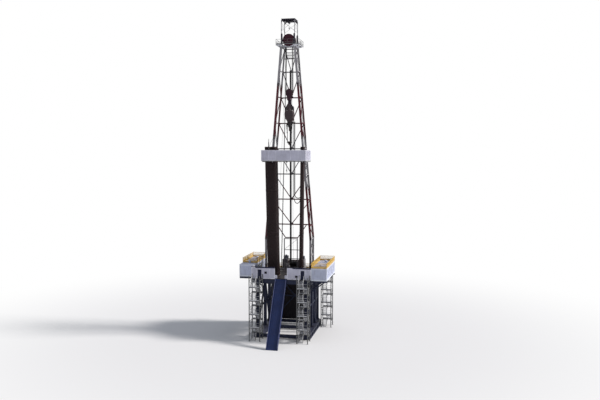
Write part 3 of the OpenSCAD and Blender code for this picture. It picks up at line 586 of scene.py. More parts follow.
def oily_metal():
    """Bare or dark metal with oil film, drag marks along one direction and dry dust."""
    group, w = new_group("Oily Metal", {
        "Vector": None, "Metal": (0.2, 0.2, 0.2, 1), "Oil": (0.03, 0.025, 0.02, 1), "Rust": (0.17, 0.07, 0.035, 1),
        "Grain": 1.0, "Oil Amount": 0.5, "Rust Amount": 0.3,
    }, SURFACE_OUT)
    if w is None:
        return group
    i = w.node("NodeGroupInput").outputs
    place = w.scaled(i["Vector"], i["Grain"])
    patches = w.noise(place, 2.4, 5.0, 0.6)
    specks = w.noise(place, 26.0, 4.0, 0.7)
    drag = w.noise(w.stretched(place, (30.0, 30.0, 1.5)), 1.5, 3.0)
    rust = w.times(w.ramp(specks, 0.45, 0.7), i["Rust Amount"], True)
    film = w.times(w.ramp(patches, 0.42, 0.62), i["Oil Amount"], True)
    colour = w.mix(film, w.mix(rust, i["Metal"], i["Rust"]), i["Oil"])
    dry = w.math("ADD", w.ramp(drag, 0.3, 0.7, 0.38, 0.58), w.times(rust, 0.3))
    rough = w.math("SUBTRACT", dry, w.times(film, 0.2), clamp=True)
    height = w.math("ADD", w.times(drag, 0.4), w.times(rust, 0.6))
    w.node("NodeGroupOutput", {"Color": colour, "Roughness": rough, "Height": height})
    return group


def grip_pattern():
    """Raised lozenges of chequered plate, and how much they are worn bright."""
    group, w = new_group("Grip Pattern", {"Vector": None, "Pitch": 0.06}, ("Raised", "Worn"))
    if w is None:
        return group
    i = w.node("NodeGroupInput").outputs
    x, y, _ = w.node("ShaderNodeSeparateXYZ", {0: i["Vector"]}).outputs
    turns = w.math("DIVIDE", math.pi, i["Pitch"])
    one, other = (w.math("ABSOLUTE", w.math("SINE", w.times(w.math(way, x, y), turns))) for way in ("ADD", "SUBTRACT"))
    first = w.times(w.ramp(one, 0.9, 0.97), w.ramp(other, 0.5, 0.7))
    second = w.times(w.ramp(other, 0.9, 0.97), w.ramp(one, 0.5, 0.3))
    raised = w.math("MAXIMUM", first, second)
    worn = w.times(raised, w.ramp(w.noise(i["Vector"], 1.3, 4.0), 0.4, 0.62))
    w.node("NodeGroupOutput", {"Raised": raised, "Worn": worn})
    return group


def emptied(material):
    """Turns a material's nodes on, clears them and gives a way to wire new ones."""
    material.use_nodes = True
    material.node_tree.nodes.clear()
    return Wiring(material.node_tree)


def finish(name, build, metallic=0.0, bump=0.3, coat=0.0, distance=0.01, specular=0.5):
    """A material whose build function returns colour, roughness and height sockets."""
    material = bpy.data.materials.get(name) or bpy.data.materials.new(name)
    w = emptied(material)
    colour, rough, height = build(w, w.object_place())
    shader = w.node("ShaderNodeBsdfPrincipled", {
        "Base Color": colour, "Roughness": rough, "Metallic": metallic, "Coat Weight": coat,
        "Specular IOR Level": specular,
    })
    if height is not None:
        raised = w.node("ShaderNodeBump", {"Height": height, "Strength": bump, "Distance": distance})
        w.feed(shader, "Normal", raised.outputs["Normal"])
    w.node("ShaderNodeOutputMaterial", {"Surface": shader.outputs[0]})
    return material


def rgb(colour):
    """A colour as a socket takes it."""
    return (*colour[:3], 1.0)


def grouped(name, group, values, **look):
    """A finish whose colour, roughness and height come from one node group."""
    def build(w, place):
        out = w.group(group(), {"Vector": place, **values})
        return out["Color"], out["Roughness"], out["Height"]

    return finish(name, build, **look)


def painted(name, colour, dust=0.3, streaks=0.4, chips=0.4, grain=1.0, specular=0.4):
    """Weathered paint over steel or timber."""
    values = {"Paint": rgb(colour), "Grain": grain, "Dust Amount": dust, "Streaks": streaks, "Chips": chips}
    return grouped(name, weathered_paint, values, bump=0.25, specular=specular)


def oiled(name, colour, oil=0.5, rust=0.3, grain=1.0, metallic=0.85, specular=0.5):
    """Bare steel under oil and rust."""
    values = {"Metal": rgb(colour), "Grain": grain, "Oil Amount": oil, "Rust Amount": rust}
    return grouped(name, oily_metal, values, metallic=metallic, bump=0.3, specular=specular)


def chequered(name, colour):
    """Deck plate: worn paint over raised lozenges that are rubbed bright in patches."""
    def build(w, place):
        values = {"Vector": place, "Paint": rgb(colour), "Dust Amount": 0.05, "Chips": 0.35}
        coat = w.group(weathered_paint(), values)
        grip = w.group(grip_pattern(), {"Vector": place})
        bright = w.mix(grip["Worn"], coat["Color"], (0.075, 0.072, 0.078, 1))
        height = w.math("ADD", grip["Raised"], w.times(coat["Height"], 0.3))
        return bright, coat["Roughness"], height

    return finish(name, build, bump=0.5, distance=0.004, specular=0.07)


def rubber(name, colour):
    """Scuffed hose rubber."""
    def build(w, place):
        scuffs = w.noise(place, 30.0, 4.0)
        tone = w.mix(w.ramp(scuffs, 0.4, 0.75, 0.0, 0.35), rgb(colour), (0.12, 0.11, 0.10, 1))
        return tone, w.ramp(scuffs, 0.3, 0.7, 0.55, 0.8), scuffs

    return finish(name, build, bump=0.15, specular=0.25)


def rope_steel(name, colour):
    """Greased wire rope: the strands are modelled, the wires in them are a fine wave."""
    def build(w, place):
        look = {"Vector": place, "Scale": 90.0, "Distortion": 1.0}
        wires = w.node("ShaderNodeTexWave", look, bands_direction="DIAGONAL").outputs[0]
        grease = w.noise(place, 6.0, 4.0)
        tone = w.mix(w.ramp(grease, 0.4, 0.65), rgb(colour), (0.012, 0.011, 0.010, 1))
        return tone, w.ramp(grease, 0.35, 0.65, 0.62, 0.42), wires

    return finish(name, build, bump=0.3, distance=0.002, specular=0.2)


def pane(name):
    """Window glass under a film of dust."""
    def build(w, place):
        film = w.noise(place, 3.0, 5.0)
        tint = w.mix(w.ramp(film, 0.45, 0.75, 0.0, 0.35), (0.10, 0.14, 0.17, 1), (0.30, 0.29, 0.26, 1))
        return tint, w.ramp(film, 0.4, 0.8, 0.06, 0.3), None

    return finish(name, build, coat=0.6)


def paint_colour(name, description, default):
    """A colour that the panel offers."""
    return bpy.props.FloatVectorProperty(
        name=name, description=description, default=default, subtype="COLOR", size=3, min=0, max=1)


class RigColours(bpy.types.PropertyGroup):
    """Paint colours of the rig."""

    white_mast: paint_colour("Mast white", "Pale sections of the mast", (0.29, 0.28, 0.30))
    red_mast: paint_colour("Mast red", "Dark red sections of the mast", (0.090, 0.009, 0.018))
    house: paint_colour("House sheet", "Cladding of the side houses", (0.53, 0.57, 0.72))
    windwall: paint_colour("Windwall", "Walls round the floor and the racking board", (0.53, 0.53, 0.64))
    frame_navy: paint_colour("Substructure", "Legs, girders and base boxes", (0.016, 0.022, 0.050))
    ramp_blue: paint_colour("Ramp", "Bed of the ramp", (0.012, 0.026, 0.095))
    railing: paint_colour("Railings", "Railings on the houses and the floor", (0.64, 0.41, 0.09))
    stairs: paint_colour("Stairs", "Stair towers", (0.085, 0.092, 0.098))
    machinery: paint_colour("Travelling gear", "Block and top drive", (0.040, 0.013, 0.024))


class RigSizes(bpy.types.PropertyGroup):
    """Sizes of the added detail."""

    rail_radius: bpy.props.FloatProperty(
        name="Rail radius", description="Radius of the railing tubes", default=0.014, min=0.008, max=0.02,
        unit="LENGTH")
    strand_count: bpy.props.IntProperty(
        name="Strands", description="Strands in a wire rope", default=6, min=4, max=8)


def colours():
    return bpy.context.scene.rig_colours


def sizes():
    return bpy.context.scene.rig_sizes


def palette():
    """All the finishes, made once and kept by name."""
    c = colours()
    return {
        "navy": painted("navy steel", c.frame_navy, dust=0.10, streaks=0.25, chips=0.25, specular=0.15),
        # Near-black sheeting across the back of the substructure: partly painted shade for the interior seen through
        # the open front.
        "screen": painted("dark sheeting and painted shade", (0.012, 0.010, 0.015), dust=0.06, streaks=0.3, chips=0.1, specular=0.12),
        "deck": chequered("deck plate", (0.016, 0.014, 0.019)),
        "red": painted("red machine paint", (0.11, 0.028, 0.030), dust=0.2, chips=0.7, specular=0.25),
        "ramp": painted("ramp blue", c.ramp_blue, dust=0.07, streaks=0.35, chips=0.5, specular=0.12),
        # Lighter blue for the ramp's side guides: a painted highlight along the ramp's edges.
        "ramp_edge_highlight": painted("ramp edge highlight", (0.095, 0.11, 0.23), dust=0.15, streaks=0.3, chips=0.7, specular=0.2),
        "stairs": painted("stair paint", c.stairs, dust=0.3, chips=0.3),
        "grating": oiled("galvanised grating", (0.30, 0.31, 0.33), oil=0.25, rust=0.25),
        "windwall": painted("windwall paint", c.windwall, dust=0.25, streaks=0.5, chips=0.15),
        "trim": painted("dark trim", (0.010, 0.013, 0.040), dust=0.1, chips=0.2, specular=0.12),
        "house": painted("house paint", c.house, dust=0.2, streaks=0.5, chips=0.12),
        "yellow": painted("railing yellow", c.railing, dust=0.2, chips=0.4, grain=2.0),
        "grey": painted("machine grey", (0.13, 0.125, 0.135), dust=0.2, chips=0.4),
        "dark": painted("dark machine paint", (0.014, 0.014, 0.018), dust=0.12, chips=0.3, specular=0.2),
        "white_mast": painted("mast white", c.white_mast, dust=0.15, streaks=0.5, chips=0.25, specular=0.3),
        "red_mast": painted("mast red", c.red_mast, dust=0.10, streaks=0.3, chips=0.25, specular=0.2),
        "crown": painted("crown red", (0.052, 0.010, 0.022), dust=0.04, chips=0.2, specular=0.14),
        "iron": oiled("sheave iron", (0.10, 0.07, 0.07), oil=0.5, rust=0.5, metallic=0.6),
        "pipe": oiled("drill pipe steel", (0.030, 0.022, 0.026), oil=0.4, rust=0.25, metallic=0.4, grain=1.5,
                      specular=0.2),
        "joint": oiled("tool joint steel", (0.070, 0.060, 0.060), oil=0.3, rust=0.3, grain=2.0),
        "rope": rope_steel("greased rope", (0.016, 0.016, 0.020)),
        "hose": rubber("hose rubber", (0.018, 0.018, 0.02)),
        "gear": painted("travelling gear paint", c.machinery, dust=0.06, streaks=0.2, chips=0.4, specular=0.18),
        "links": oiled("link steel", (0.030, 0.026, 0.028), oil=0.35, rust=0.15, metallic=0.4, specular=0.25),
        "glass": pane("dusty glass"),
        "dark_head": painted("dark plum paint", (0.012, 0.008, 0.024), dust=0.05, chips=0.15, specular=0.15),
        # Pale steel for the treads and landings: the brightness is a painted highlight on the flights; oil and rust
        # come from the group.
        "tread": oiled("pale treads with painted highlight", (0.62, 0.63, 0.66), oil=0.1, rust=0.15, metallic=0.4),
        "rail_grey": painted("pale rail paint", (0.26, 0.27, 0.29), dust=0.2, chips=0.3, grain=2.0),
        "stair_rail": painted("stair rail paint", (0.58, 0.59, 0.62), dust=0.2, chips=0.3, grain=2.0),
        "house_frame": painted("house frame paint", (0.66, 0.70, 0.80), dust=0.2, streaks=0.4, chips=0.2),
        "windwall_frame": painted("windwall frame paint", (0.70, 0.70, 0.80), dust=0.2, streaks=0.4, chips=0.2),
        "crown_grey": painted("crown beam paint", (0.74, 0.75, 0.80), dust=0.2, chips=0.3),
        "yellow_worn": painted("worn yellow", (0.52, 0.33, 0.05), dust=0.3, chips=0.7),
        "mast_joint": painted("joint plate paint", (0.035, 0.024, 0.030), dust=0.08, chips=0.4, specular=0.2),
        "mast_grey": painted("mast grey", (0.20, 0.19, 0.21), dust=0.15, streaks=0.4, chips=0.3),
        "board_grey": painted("board grey", (0.30, 0.31, 0.34), dust=0.3, chips=0.4),
        "motor_blue": painted("motor blue", (0.035, 0.055, 0.10), dust=0.15, chips=0.5),
        "guard": painted("guard plate paint", (0.050, 0.036, 0.042), dust=0.12, chips=0.5, specular=0.2),
        "timber": painted("setback timber", (0.07, 0.048, 0.036), dust=0.25, streaks=0.2, chips=0.3),
    }


_finishes = {}


def paint(key):
    """One finish of the palette."""
    if not _finishes:
        _finishes.update(palette())
    return _finishes[key]


NODE_FINISH = {
    "navy": ("base_boxes", "base_spreaders", "leg_frames", "rear_bracing", "floor_girders",
             "house_supports", "mast_feet"),
    # The rear screen's near-black finish is partly painted shade for the substructure's interior.
    "screen": ("rear_screen",),
    "deck": ("rig_floor",),
    "red": ("rotary_table",),
    "ramp": ("catwalk_ramp",),
    "stairs": ("stair_posts", "stair_stringers", "stair_handrails", "crown_railing"),
    "grating": ("stair_landings", "stair_treads", "crown_platform", "racking_board", "racking_fingers"),
    "windwall": ("windwalls", "board_windwalls"),
    "trim": ("windwall_caps",),
    "house": ("right_house", "left_house", "house_roofs"),
    "house_frame": ("house_floors",),
    "yellow": ("roof_railings", "floor_railings"),
    "grey": ("drawworks_frame", "standpipe"),
    "dark": ("drawworks_drum", "guide_rail", "crown_gantry", "pipe_handler"),
    "white_mast": ("mast_sides_1", "mast_sides_3", "mast_sides_5", "mast_back_3", "mast_back_5"),
    "red_mast": ("mast_sides_2", "mast_sides_4", "mast_back_2", "mast_back_4"),
    "crown": ("crown_block_frame", "fast_sheave_bracket"),
    "iron": ("crown_sheaves", "fast_line_sheave", "block_sheaves"),
    "pipe": ("pipe_stands_left", "pipe_stands_right"),
    "rope": ("drilling_lines", "fast_line"),
    "hose": ("mud_hose",),
    "gear": ("travelling_block", "hook_and_bail"),
    "guard": ("top_drive",),
    "links": ("elevator_links", "elevator"),
}


class RIG_OT_finishes(bpy.types.Operator):
    """Gives every piece of the frame its painted or metal finish."""

    bl_idname = "rig.finishes"
    bl_label = "Frame finishes"

    def execute(self, context):
        for key, names in NODE_FINISH.items():
            for name in names:
                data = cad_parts[name].data
                data.materials.clear()
                data.materials.append(paint(key))
        return {"FINISHED"}


def hoisting_ropes():
    """The falls between block and crown, their turns over the sheaves and the line to the dead anchor."""
    top, low = CROWN_SPINDLE, BLOCK_SPINDLE
    falls, over, under = Shape(), Shape(), Shape()
    for y in sheave_rows(BLOCK_SHEAVES):
        for s in SIDES:
            falls.rope([(s * LINE_OUT, y + s * SHEAVE_PITCH / 2, top), (s * LINE_OUT, y, low)], LINE_RADIUS)
        under.rope(arc((0, y, low), LINE_OUT, 180, 360, count=24), TURN_RADIUS)
    for y in sheave_rows(CROWN_SHEAVES):
        over.rope(arc((0, y, top), LINE_OUT, 0, 180, count=24), TURN_RADIUS)
    over.rope([(-LINE_OUT, y, top), (DEAD_LINE_X, 0.6, 7.05)], TURN_RADIUS, step=0.05)
    falls.make("drilling_line_ropes", "rope", stands_for="drilling_lines", blend=(top, low))
    over.make("crown_rope_turns", "rope")
    under.make("block_rope_turns", "rope", GEAR)


def fast_line():
    """From the drum up to the fast sheave and over to the crown block."""
    fast = Shape()
    top, wrap = CROWN_SPINDLE, 0.2905
    fast.rope([(0, 2.0095, FLOOR + 0.65), (0, FAST_SHEAVE_Y + wrap, top)], TURN_RADIUS)
    over = arc((0, FAST_SHEAVE_Y, top), wrap, 0, 90, "yz")
    fast.rope([*over, Vector((0, 0.34, top + wrap))], TURN_RADIUS)
    fast.make("fast_line_rope", "rope", stands_for="fast_line")


def tugger_line():
    """Two falls of winch rope from a block below the crown to the winch on the floor."""
    tugger = Shape()
    spindle = CROWN_DECK - 0.27
    for aside in (0.0, 0.056):
        route = [(-0.42 - aside, 0.62, CROWN_DECK - 0.25), (-1.08 - aside, 0.75, FLOOR + 0.26)]
        tugger.rope(route, 0.024, lay=0.4, step=0.05)
    tugger.lathe([(0.02, -0.03), (0.09, -0.03), (0.075, 0.0), (0.09, 0.03), (0.02, 0.03)],
                 (-0.50, 0.62, spindle), "y", 24, hole=True)
    tugger.plate([(-0.56, CROWN_DECK - 0.30), (-0.44, CROWN_DECK - 0.30), (-0.46, CROWN_DECK - 0.05),
                  (-0.54, CROWN_DECK - 0.05)], 0.655, 0.67)
    tugger.rod((-0.50, 0.58, spindle), (-0.50, 0.67, spindle), 0.018, 12)
    tugger.make("tugger_line", "rope")


def dead_line_anchor():
    """The anchor's wheel on its stand, which holds the still end of the line."""
    dead = Shape()
    wheel = FLOOR + 0.58
    dead.lathe([(0.16, 0), (0.16, 0.02), (0.09, 0.03), (0.09, 0.10), (0.16, 0.11), (0.16, 0.13)],
               (DEAD_LINE_X, 0.50, wheel), "y", 28)
    dead.plate([(-1.72, FLOOR), (-1.44, FLOOR), (-1.50, FLOOR + 0.72), (-1.66, FLOOR + 0.72)], 0.44, 0.49)
    dead.box((-1.85, 0.30, FLOOR), (-1.32, 0.80, FLOOR + 0.03))
    dead.rod((DEAD_LINE_X, 0.44, wheel), (DEAD_LINE_X, 0.66, wheel), 0.035, 16)
    dead.make("dead_line_anchor", "red", bevel=0.004)


class RIG_OT_ropes(bpy.types.Operator):
    """Lays the drilling lines, the fast line, the dead line and the tugger line."""

    bl_idname = "rig.ropes"
    bl_label = "Wire ropes"

    def execute(self, context):
        hoisting_ropes()
        fast_line()
        tugger_line()
        dead_line_anchor()
        return {"FINISHED"}


def rail_ring(low, high, inset, z):
    """A closed route a little inside a rectangle."""
    x0, y0, x1, y1 = low[0] + inset, low[1] + inset, high[0] - inset, high[1] - inset
    return [(x0, y0, z), (x1, y0, z), (x1, y1, z), (x0, y1, z), (x0, y0, z)]


class RIG_OT_railings(bpy.types.Operator):
    """Puts tube railings with toe boards and wire infill where the frame has square ones."""

    bl_idname = "rig.railings"
    bl_label = "Railings"

    def execute(self, context):
        roofs, floor, crown = Shape(), Shape(), Shape()
        for node in ("right_house", "left_house"):
            low, high = span(node)
            low.y += 1.25 if high.x < 0 else 0.0
            roofs.railing(rail_ring(low, high, 0.02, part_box("house_roofs")[1].z), wires=0.05)
        roofs.make("roof_tube_railings", "yellow", stands_for="roof_railings")
        x, rear = FLOOR_HALF - 0.02, FLOOR_REAR - 0.02
        floor.railing([(-x, 2.54, FLOOR), (-x, rear, FLOOR), (x, rear, FLOOR)], wires=0.05)
        floor.railing([(x, 1.34, FLOOR), (x, 2.71, FLOOR)], wires=0.05)
        floor.make("floor_tube_railings", "yellow", stands_for="floor_railings")
        crown.railing(rail_ring(*span("crown_railing"), 0.015, CROWN_DECK), spacing=0.65, toe=0.1)
        crown.make("crown_tube_railing", "stairs", stands_for="crown_railing")
        return {"FINISHED"}


def stair_tread(shape, x, y, z, face):
    """One tread: a nosing, bearing bars and the two end plates that are bolted to the stringers."""
    shape.block(x, y + face * 0.045, 0.225, 0.01, z - 0.03, z)
    for b in (-0.045, -0.018, 0.009):
        shape.block(x, y - face * b, 0.222, 0.0025, z - 0.022, z - 0.001)
    for a in steps(-0.22, 0.22, 0.075):
        shape.block(x + a, y, 0.0025, 0.05, z - 0.010, z - 0.002)
    for a in (-0.2219, 0.2219):
        shape.block(x + a, y, 0.003, 0.055, z - 0.03, z)


def stair_rail(shape, foot, head, r):
    """Two sloping tubes on stanchions along both sides of a flight."""
    for side in (-0.235, 0.235):
        across = Vector((side, 0, 0))
        for h in (0.26, 0.49):
            shape.rod(foot + across + UP * h, head + across + UP * h, r, 6)
        for t in (0.03, 0.5, 0.97):
            p = foot.lerp(head, t) + across
            shape.rod((p.x, p.y, max(p.z - 0.05, 0)), p + UP * 0.49, r * 0.9, 6)


def stair_landing(landings, rails, x, y, z, at_rear, railed, r):
    """A landing at the front or the rear of a tower, with its guard rail and toe board."""
    edge, outer = (y - 0.3, y - 0.02) if at_rear else (y - 1.35, y - 1.33)
    landings.grating((x - 0.52, edge, z - 0.03), (x + 0.52, edge + 0.3, z), pitch=0.035, cross=0.15)
    for b in (edge, edge + 0.294):
        landings.box((x - 0.52, b, z - 0.06), (x + 0.52, b + 0.006, z - 0.03))
    if railed:
        for h in (0.25, 0.5):
            rails.rod((x - 0.5, outer, z + h), (x + 0.5, outer, z + h), r, 6)
        rails.bar((x - 0.52, outer, z + 0.05), (x + 0.52, outer, z + 0.05), 0.09, 0.005)


def tower_bracing(braces, x, y):
    """Diagonals, ledgers and foot plates of one stair tower."""
    front, rear = y - 1.31, y - 0.04
    for flight in range(STAIR_FLIGHTS):
        a, b = STEP_UP * flight + 0.06, STEP_UP * (flight + 1) - 0.06
        first, last = (front, rear) if flight % 2 else (rear, front)
        for side in (x - 0.56, x + 0.56):
            braces.tube([(side, first, a), (side, last, b)], 0.013, 6)
            braces.bar((side, front, b + 0.03), (side, rear, b + 0.03), 0.05, 0.03)
    for side in (x - 0.56, x + 0.56):
        for end in (front, rear):
            braces.block(side, end, 0.09, 0.04, 0, 0.018)


class RIG_OT_stairs(bpy.types.Operator):
    """Dresses the stair towers with bar grating treads, landings, rails and bracing."""

    bl_idname = "rig.stairs"
    bl_label = "Stairs"

    def execute(self, context):
        treads, landings, rails, braces = Shape(), Shape(), Shape(), Shape()
        r = 0.011
        for x, y in STAIR_TOWERS:
            for i in range(STAIR_FLIGHTS):
                rising = i % 2 == 0
                lane = x + (-0.26 if rising else 0.26)
                start, end = (STAIR_FRONT, STAIR_REAR) if rising else (STAIR_REAR, STAIR_FRONT)
                foot, head = Vector((lane, y + start, STEP_UP * i)), Vector((lane, y + end, STEP_UP * (i + 1)))
                for k in range(1, 7):
                    tread_y = foot.y + (head.y - foot.y) * (k - 0.5) / 6
                    stair_tread(treads, lane, tread_y, foot.z + STEP_UP * k / 7, -1 if rising else 1)
                stair_rail(rails, foot, head, r)
                stair_landing(landings, rails, x, y, head.z, rising, i < STAIR_FLIGHTS - 1, r)
            tower_bracing(braces, x, y)
        # Treads and landings take the pale tread finish, whose brightness is a painted highlight.
        treads.make("tread_gratings", "tread", stands_for="stair_treads")
        landings.make("landing_gratings", "tread")
        rails.make("stair_tube_rails", "stair_rail", stands_for="stair_handrails")
        braces.make("stair_tower_braces", "stairs")
        return {"FINISHED"}


def house(node, out):
    """The four framed walls of a side house, its roof sheets and its two roof vents."""
    (x0, y0, z0), (x1, y1, z1) = span(node)
    inner, outer = (x0, x1) if out > 0 else (x1, x0)
    door = (y0 + 3.9, y0 + 4.36, z0, z0 + 1.02)
    windows = [(y0 + a, y0 + a + 0.8, z0 + 0.48, z0 + 0.98) for a in (1.5, 2.6)]
    shell, roof = Shape(), Shape()
    shell.wall("y", y0 + 0.05, y0, x0, x1, z0, z1)
    shell.wall("y", y1 - 0.05, y1, x0, x1, z0, z1)
    shell.wall("x", outer - out * 0.05, outer, y0 + 0.05, y1 - 0.05, z0, z1)
    shell.wall("x", inner + out * 0.05, inner, y0 + 0.05, y1 - 0.05, z0, z1, [door, *windows])
    shell.make(f"{node}_walls", ("house", "house_frame", "trim"), stands_for=node, bevel=0.002)
    house_windows(node, inner + out * 0.03, out, windows)
    house_door(node, inner + out * 0.03, out, door)
    for y in steps(y0, y1, 0.16):
        roof.box((x0 + 0.05, y - 0.05, z1 + 0.05), (x1 - 0.05, y + 0.05, z1 + 0.062))
    for y in (y0 + 1.2, y1 - 1.2):
        roof.lathe([(0.10, 0), (0.10, 0.16), (0.17, 0.16), (0.17, 0.20), (0.05, 0.27)],
                   ((x0 + x1) / 2, y, z1 + 0.05), "z", 24)
    roof.make(f"{node}_roof_sheets", "house")


def house_windows(node, x, out, windows):
    """The panes of a house's inner wall, and their bars."""
    glass, bars = Shape(), Shape()
    for a0, a1, b0, b1 in windows:
        glass.slab("x", x, x + out * 0.006, a0, a1, b0, b1)
        for a in (a0 + 0.012, (a0 + a1) / 2, a1 - 0.012):
            bars.slab("x", x - out * 0.01, x + out * 0.014, a - 0.012, a + 0.012, b0, b1)
        for b in (b0 + 0.012, b1 - 0.012):
            bars.slab("x", x - out * 0.01, x + out * 0.014, a0, a1, b - 0.012, b + 0.012)
    glass.make(f"{node}_panes", "glass")
    bars.make(f"{node}_window_bars", "trim")


def house_door(node, x, out, door):
    """The door leaf with its pressed panels, handle and hinges."""
    leaf = Shape()
    a0, a1, b0, b1 = door
    leaf.slab("x", x, x + out * 0.012, a0 + 0.004, a1 - 0.004, b0 + 0.004, b1 - 0.004)
    for b in (0.12, 0.62, 0.44, 0.94):
        leaf.slab("x", x - out * 0.008, x, a0 + 0.07, a1 - 0.07, b0 + b, b0 + b + 0.02)
    leaf.rod((x - out * 0.02, a0 + 0.06, b0 + 0.46), (x - out * 0.02, a0 + 0.06, b0 + 0.58), 0.008, 6)
    for b in (b0 + 0.15, b1 - 0.15):
        leaf.rod((x - out * 0.005, a1 - 0.01, b - 0.04), (x - out * 0.005, a1 - 0.01, b + 0.04), 0.01, 6)
    leaf.make(f"{node}_door_leaf", "house_frame")


PORT_SILLS = {1: 0.24, -1: 0.56}  # height of the small window above the floor, right and left


def windwalls():
    """The front windwalls with a doorway and a small window on each side, and the right end wall."""
    walls = Shape()
    z0, z1 = FLOOR, FLOOR + 1.2
    for s, sill in PORT_SILLS.items():
        holes = []
        for a, b, low, high in ((2.1, 2.5, 0, 0.96), (1.548, 1.748, sill, sill + 0.17)):
            holes.append((*sorted((s * a, s * b)), z0 + low, z0 + high))
        walls.wall("y", -4.26, WALL_FACE, *sorted((s * 0.65, s * FLOOR_HALF)), z0, z1, holes, pitch=0.115, border=0.09)
        walls.slot = 1
        for a in (1.2, 1.95, 2.65):
            walls.box((s * a - 0.02, WALL_FACE, z0), (s * a + 0.02, -4.262, z1))
        walls.slot = 0
        a, b = sorted((s * 0.41, s * 0.649))
        walls.wall("y", -4.24, WALL_FACE, a, b, z0 + 0.09, z0 + 0.42, border=0.04)
        walls.slot = 2
        walls.box((a, -4.27, z0), (b, -4.25, z0 + 0.09))
        walls.slot = 0
    walls.wall("x", -3.16, -3.2, -4.26, -3.1, z0, z1, pitch=0.115, border=0.05)
    walls.make("windwall_panels", ("windwall", "windwall_frame", "trim"), stands_for="windwalls", bevel=0.002)


def windwall_doors():
    """The door leaves with their handles, and the covers of the small windows."""
    leaves = Shape()
    z = FLOOR
    for s, sill in PORT_SILLS.items():
        a, b = sorted((s * 2.104, s * 2.496))
        leaves.box((a, -4.284, z + 0.004), (b, -4.27, z + 0.956))
        for h in (0.1, 0.52):
            leaves.box((a + 0.06, -4.288, z + h), (b - 0.06, -4.284, z + h + 0.34))
        leaves.rod((s * 2.15, WALL_FACE, z + 0.44), (s * 2.15, WALL_FACE, z + 0.56), 0.008)
        for h in (0.44, 0.56):
            leaves.rod((s * 2.15, WALL_FACE, z + h), (s * 2.15, -4.284, z + h), 0.007)
        leaves.slot = 1
        leaves.box((s * 1.55, -4.276, z + sill + 0.002), (s * 1.746, -4.27, z + sill + 0.168))
        leaves.slot = 0
    leaves.make("windwall_door_leaves", ("trim", "dark"))


def windwall_trim():
    """The flashing over the caps, and the stays behind the walls."""
    cap, stays = Shape(), Shape()
    top = FLOOR + 1.2
    for a, b in ((-2.75, -0.66), (1.25, 3.19)):
        cap.box((a, -4.306, top - 0.075), (b, -4.3005, top + 0.005))
        for x in steps(a, b, 0.5):
            cap.lathe([(0.009, 0.0), (0.009, -0.006), (0.005, -0.008)], (x, -4.306, top - 0.035), "y", 6)
    cap.make("windwall_cap_flashing", "trim")
    for x in (s * a for s in SIDES for a in (0.75, 1.35, 1.95, 2.65, 3.1)):
        stays.tube([(x, -4.24, FLOOR + 1.05), (x, -3.85, FLOOR + 0.01)], 0.014, 6)
        stays.block(x, -3.85, 0.04, 0.05, FLOOR, FLOOR + 0.012)
    stays.make("windwall_stays", "trim")


def board_walls():
    """The walls round three sides of the racking board."""
    board = Shape()
    z0, z1 = BOARD, BOARD + 1.1
    board.wall("y", -3.06, -3.1, -2.4, 2.4, z0, z1, pitch=0.12, border=0.05)
    for s in SIDES:
        board.wall("x", s * 2.36, s * 2.4, -3.06, -0.25, z0, z1, pitch=0.12, border=0.05)
        board.slot = 1
        for x in (0.8, 1.6):
            board.box((s * x - 0.02, -3.1, z0), (s * x + 0.02, -3.062, z1))
        board.slot = 0
    board.make("board_wall_panels", ("windwall", "windwall_frame", "trim"), stands_for="board_windwalls", bevel=0.002)


class RIG_OT_walls(bpy.types.Operator):
    """Builds the framed sheet walls of the houses, the windwalls and the racking board."""

    bl_idname = "rig.walls"
    bl_label = "Houses and windwalls"

    def execute(self, context):
        house("right_house", 1)
        house("left_house", -1)
        windwalls()
        windwall_doors()
        windwall_trim()
        board_walls()
        return {"FINISHED"}


def sheave(shape, y, z, outer, groove, bore, axis="y"):
    """A hoisting sheave: a hub, a thin web with ribs and a grooved rim."""
    w, web, rim, half = 0.036, 0.010, 0.045, 0.013
    side = [
        (groove, half), (groove + 0.006, half + 0.003), (outer, w - 0.004), (outer - 0.006, w),
        (groove - rim, w - 0.006), (groove - rim - 0.015, web), (bore + 0.055, web), (bore + 0.045, w), (bore, w),
    ]
    centre = Vector((0, y, z))
    shape.lathe([*((r, -h) for r, h in reversed(side)), *side], centre, axis, 48, hole=True)
    for out in ring((0, 0, 0), 1, 8, "xz" if axis == "y" else "yz"):
        shape.bar(centre + out * (bore + 0.05), centre + out * (groove - 0.05), 0.014, 0.052)


def crown_grating(z):
    """The bar grating of the platform, open over the crown block and the fast line."""
    deck = Shape()
    holes = [(-0.62, -0.275, 0.62, 0.275), (-0.06, 1.13, 0.06, 1.235)]
    for low, high in (((-1.275, -1.05), (-0.62, 1.4)), ((0.62, -1.05), (1.275, 1.4)), ((-0.62, 0.43), (0.62, 1.4))):
        deck.grating((*low, z - 0.022), (*high, z), "y", 0.06, 0.3, holes)
    deck.make("crown_grating", "grating", stands_for="crown_platform")


def crown_beams(z):
    """The beams that carry the crown block, the platform's edge beams and the brackets below them."""
    beams = Shape()
    for y in (-0.3375, 0.3375):
        beams.h_beam((-0.82, y, z - 0.08), (0.82, y, z - 0.08), 0.125, 0.16)
    beams.h_beam((-1.275, 1.05, z - 0.06), (1.275, 1.05, z - 0.06), 0.06, 0.07, 0.008)
    for s in SIDES:
        beams.h_beam((s * 0.62, -1.02, z - 0.06), (s * 1.275, -1.02, z - 0.06), 0.06, 0.07, 0.008)
        beams.h_beam((s * 1.265, -1.05, z - 0.05), (s * 1.265, 1.4, z - 0.05), 0.02, 0.05, 0.006)
        for y0, y1 in ((-1.05, -0.41), (-0.265, 0.265), (0.41, 1.4)):
            beams.h_beam((s * 0.75, y0, z - 0.125), (s * 0.75, y1, z - 0.125), 0.14, 0.15)
        for y in (-1.02, 0.0, 1.05):
            beams.bar((s * 0.80, y, z - 0.17), (s * 1.25, y, z - 0.06), 0.04, 0.04)
    beams.make("crown_beams", "crown_grey", bevel=0.003)


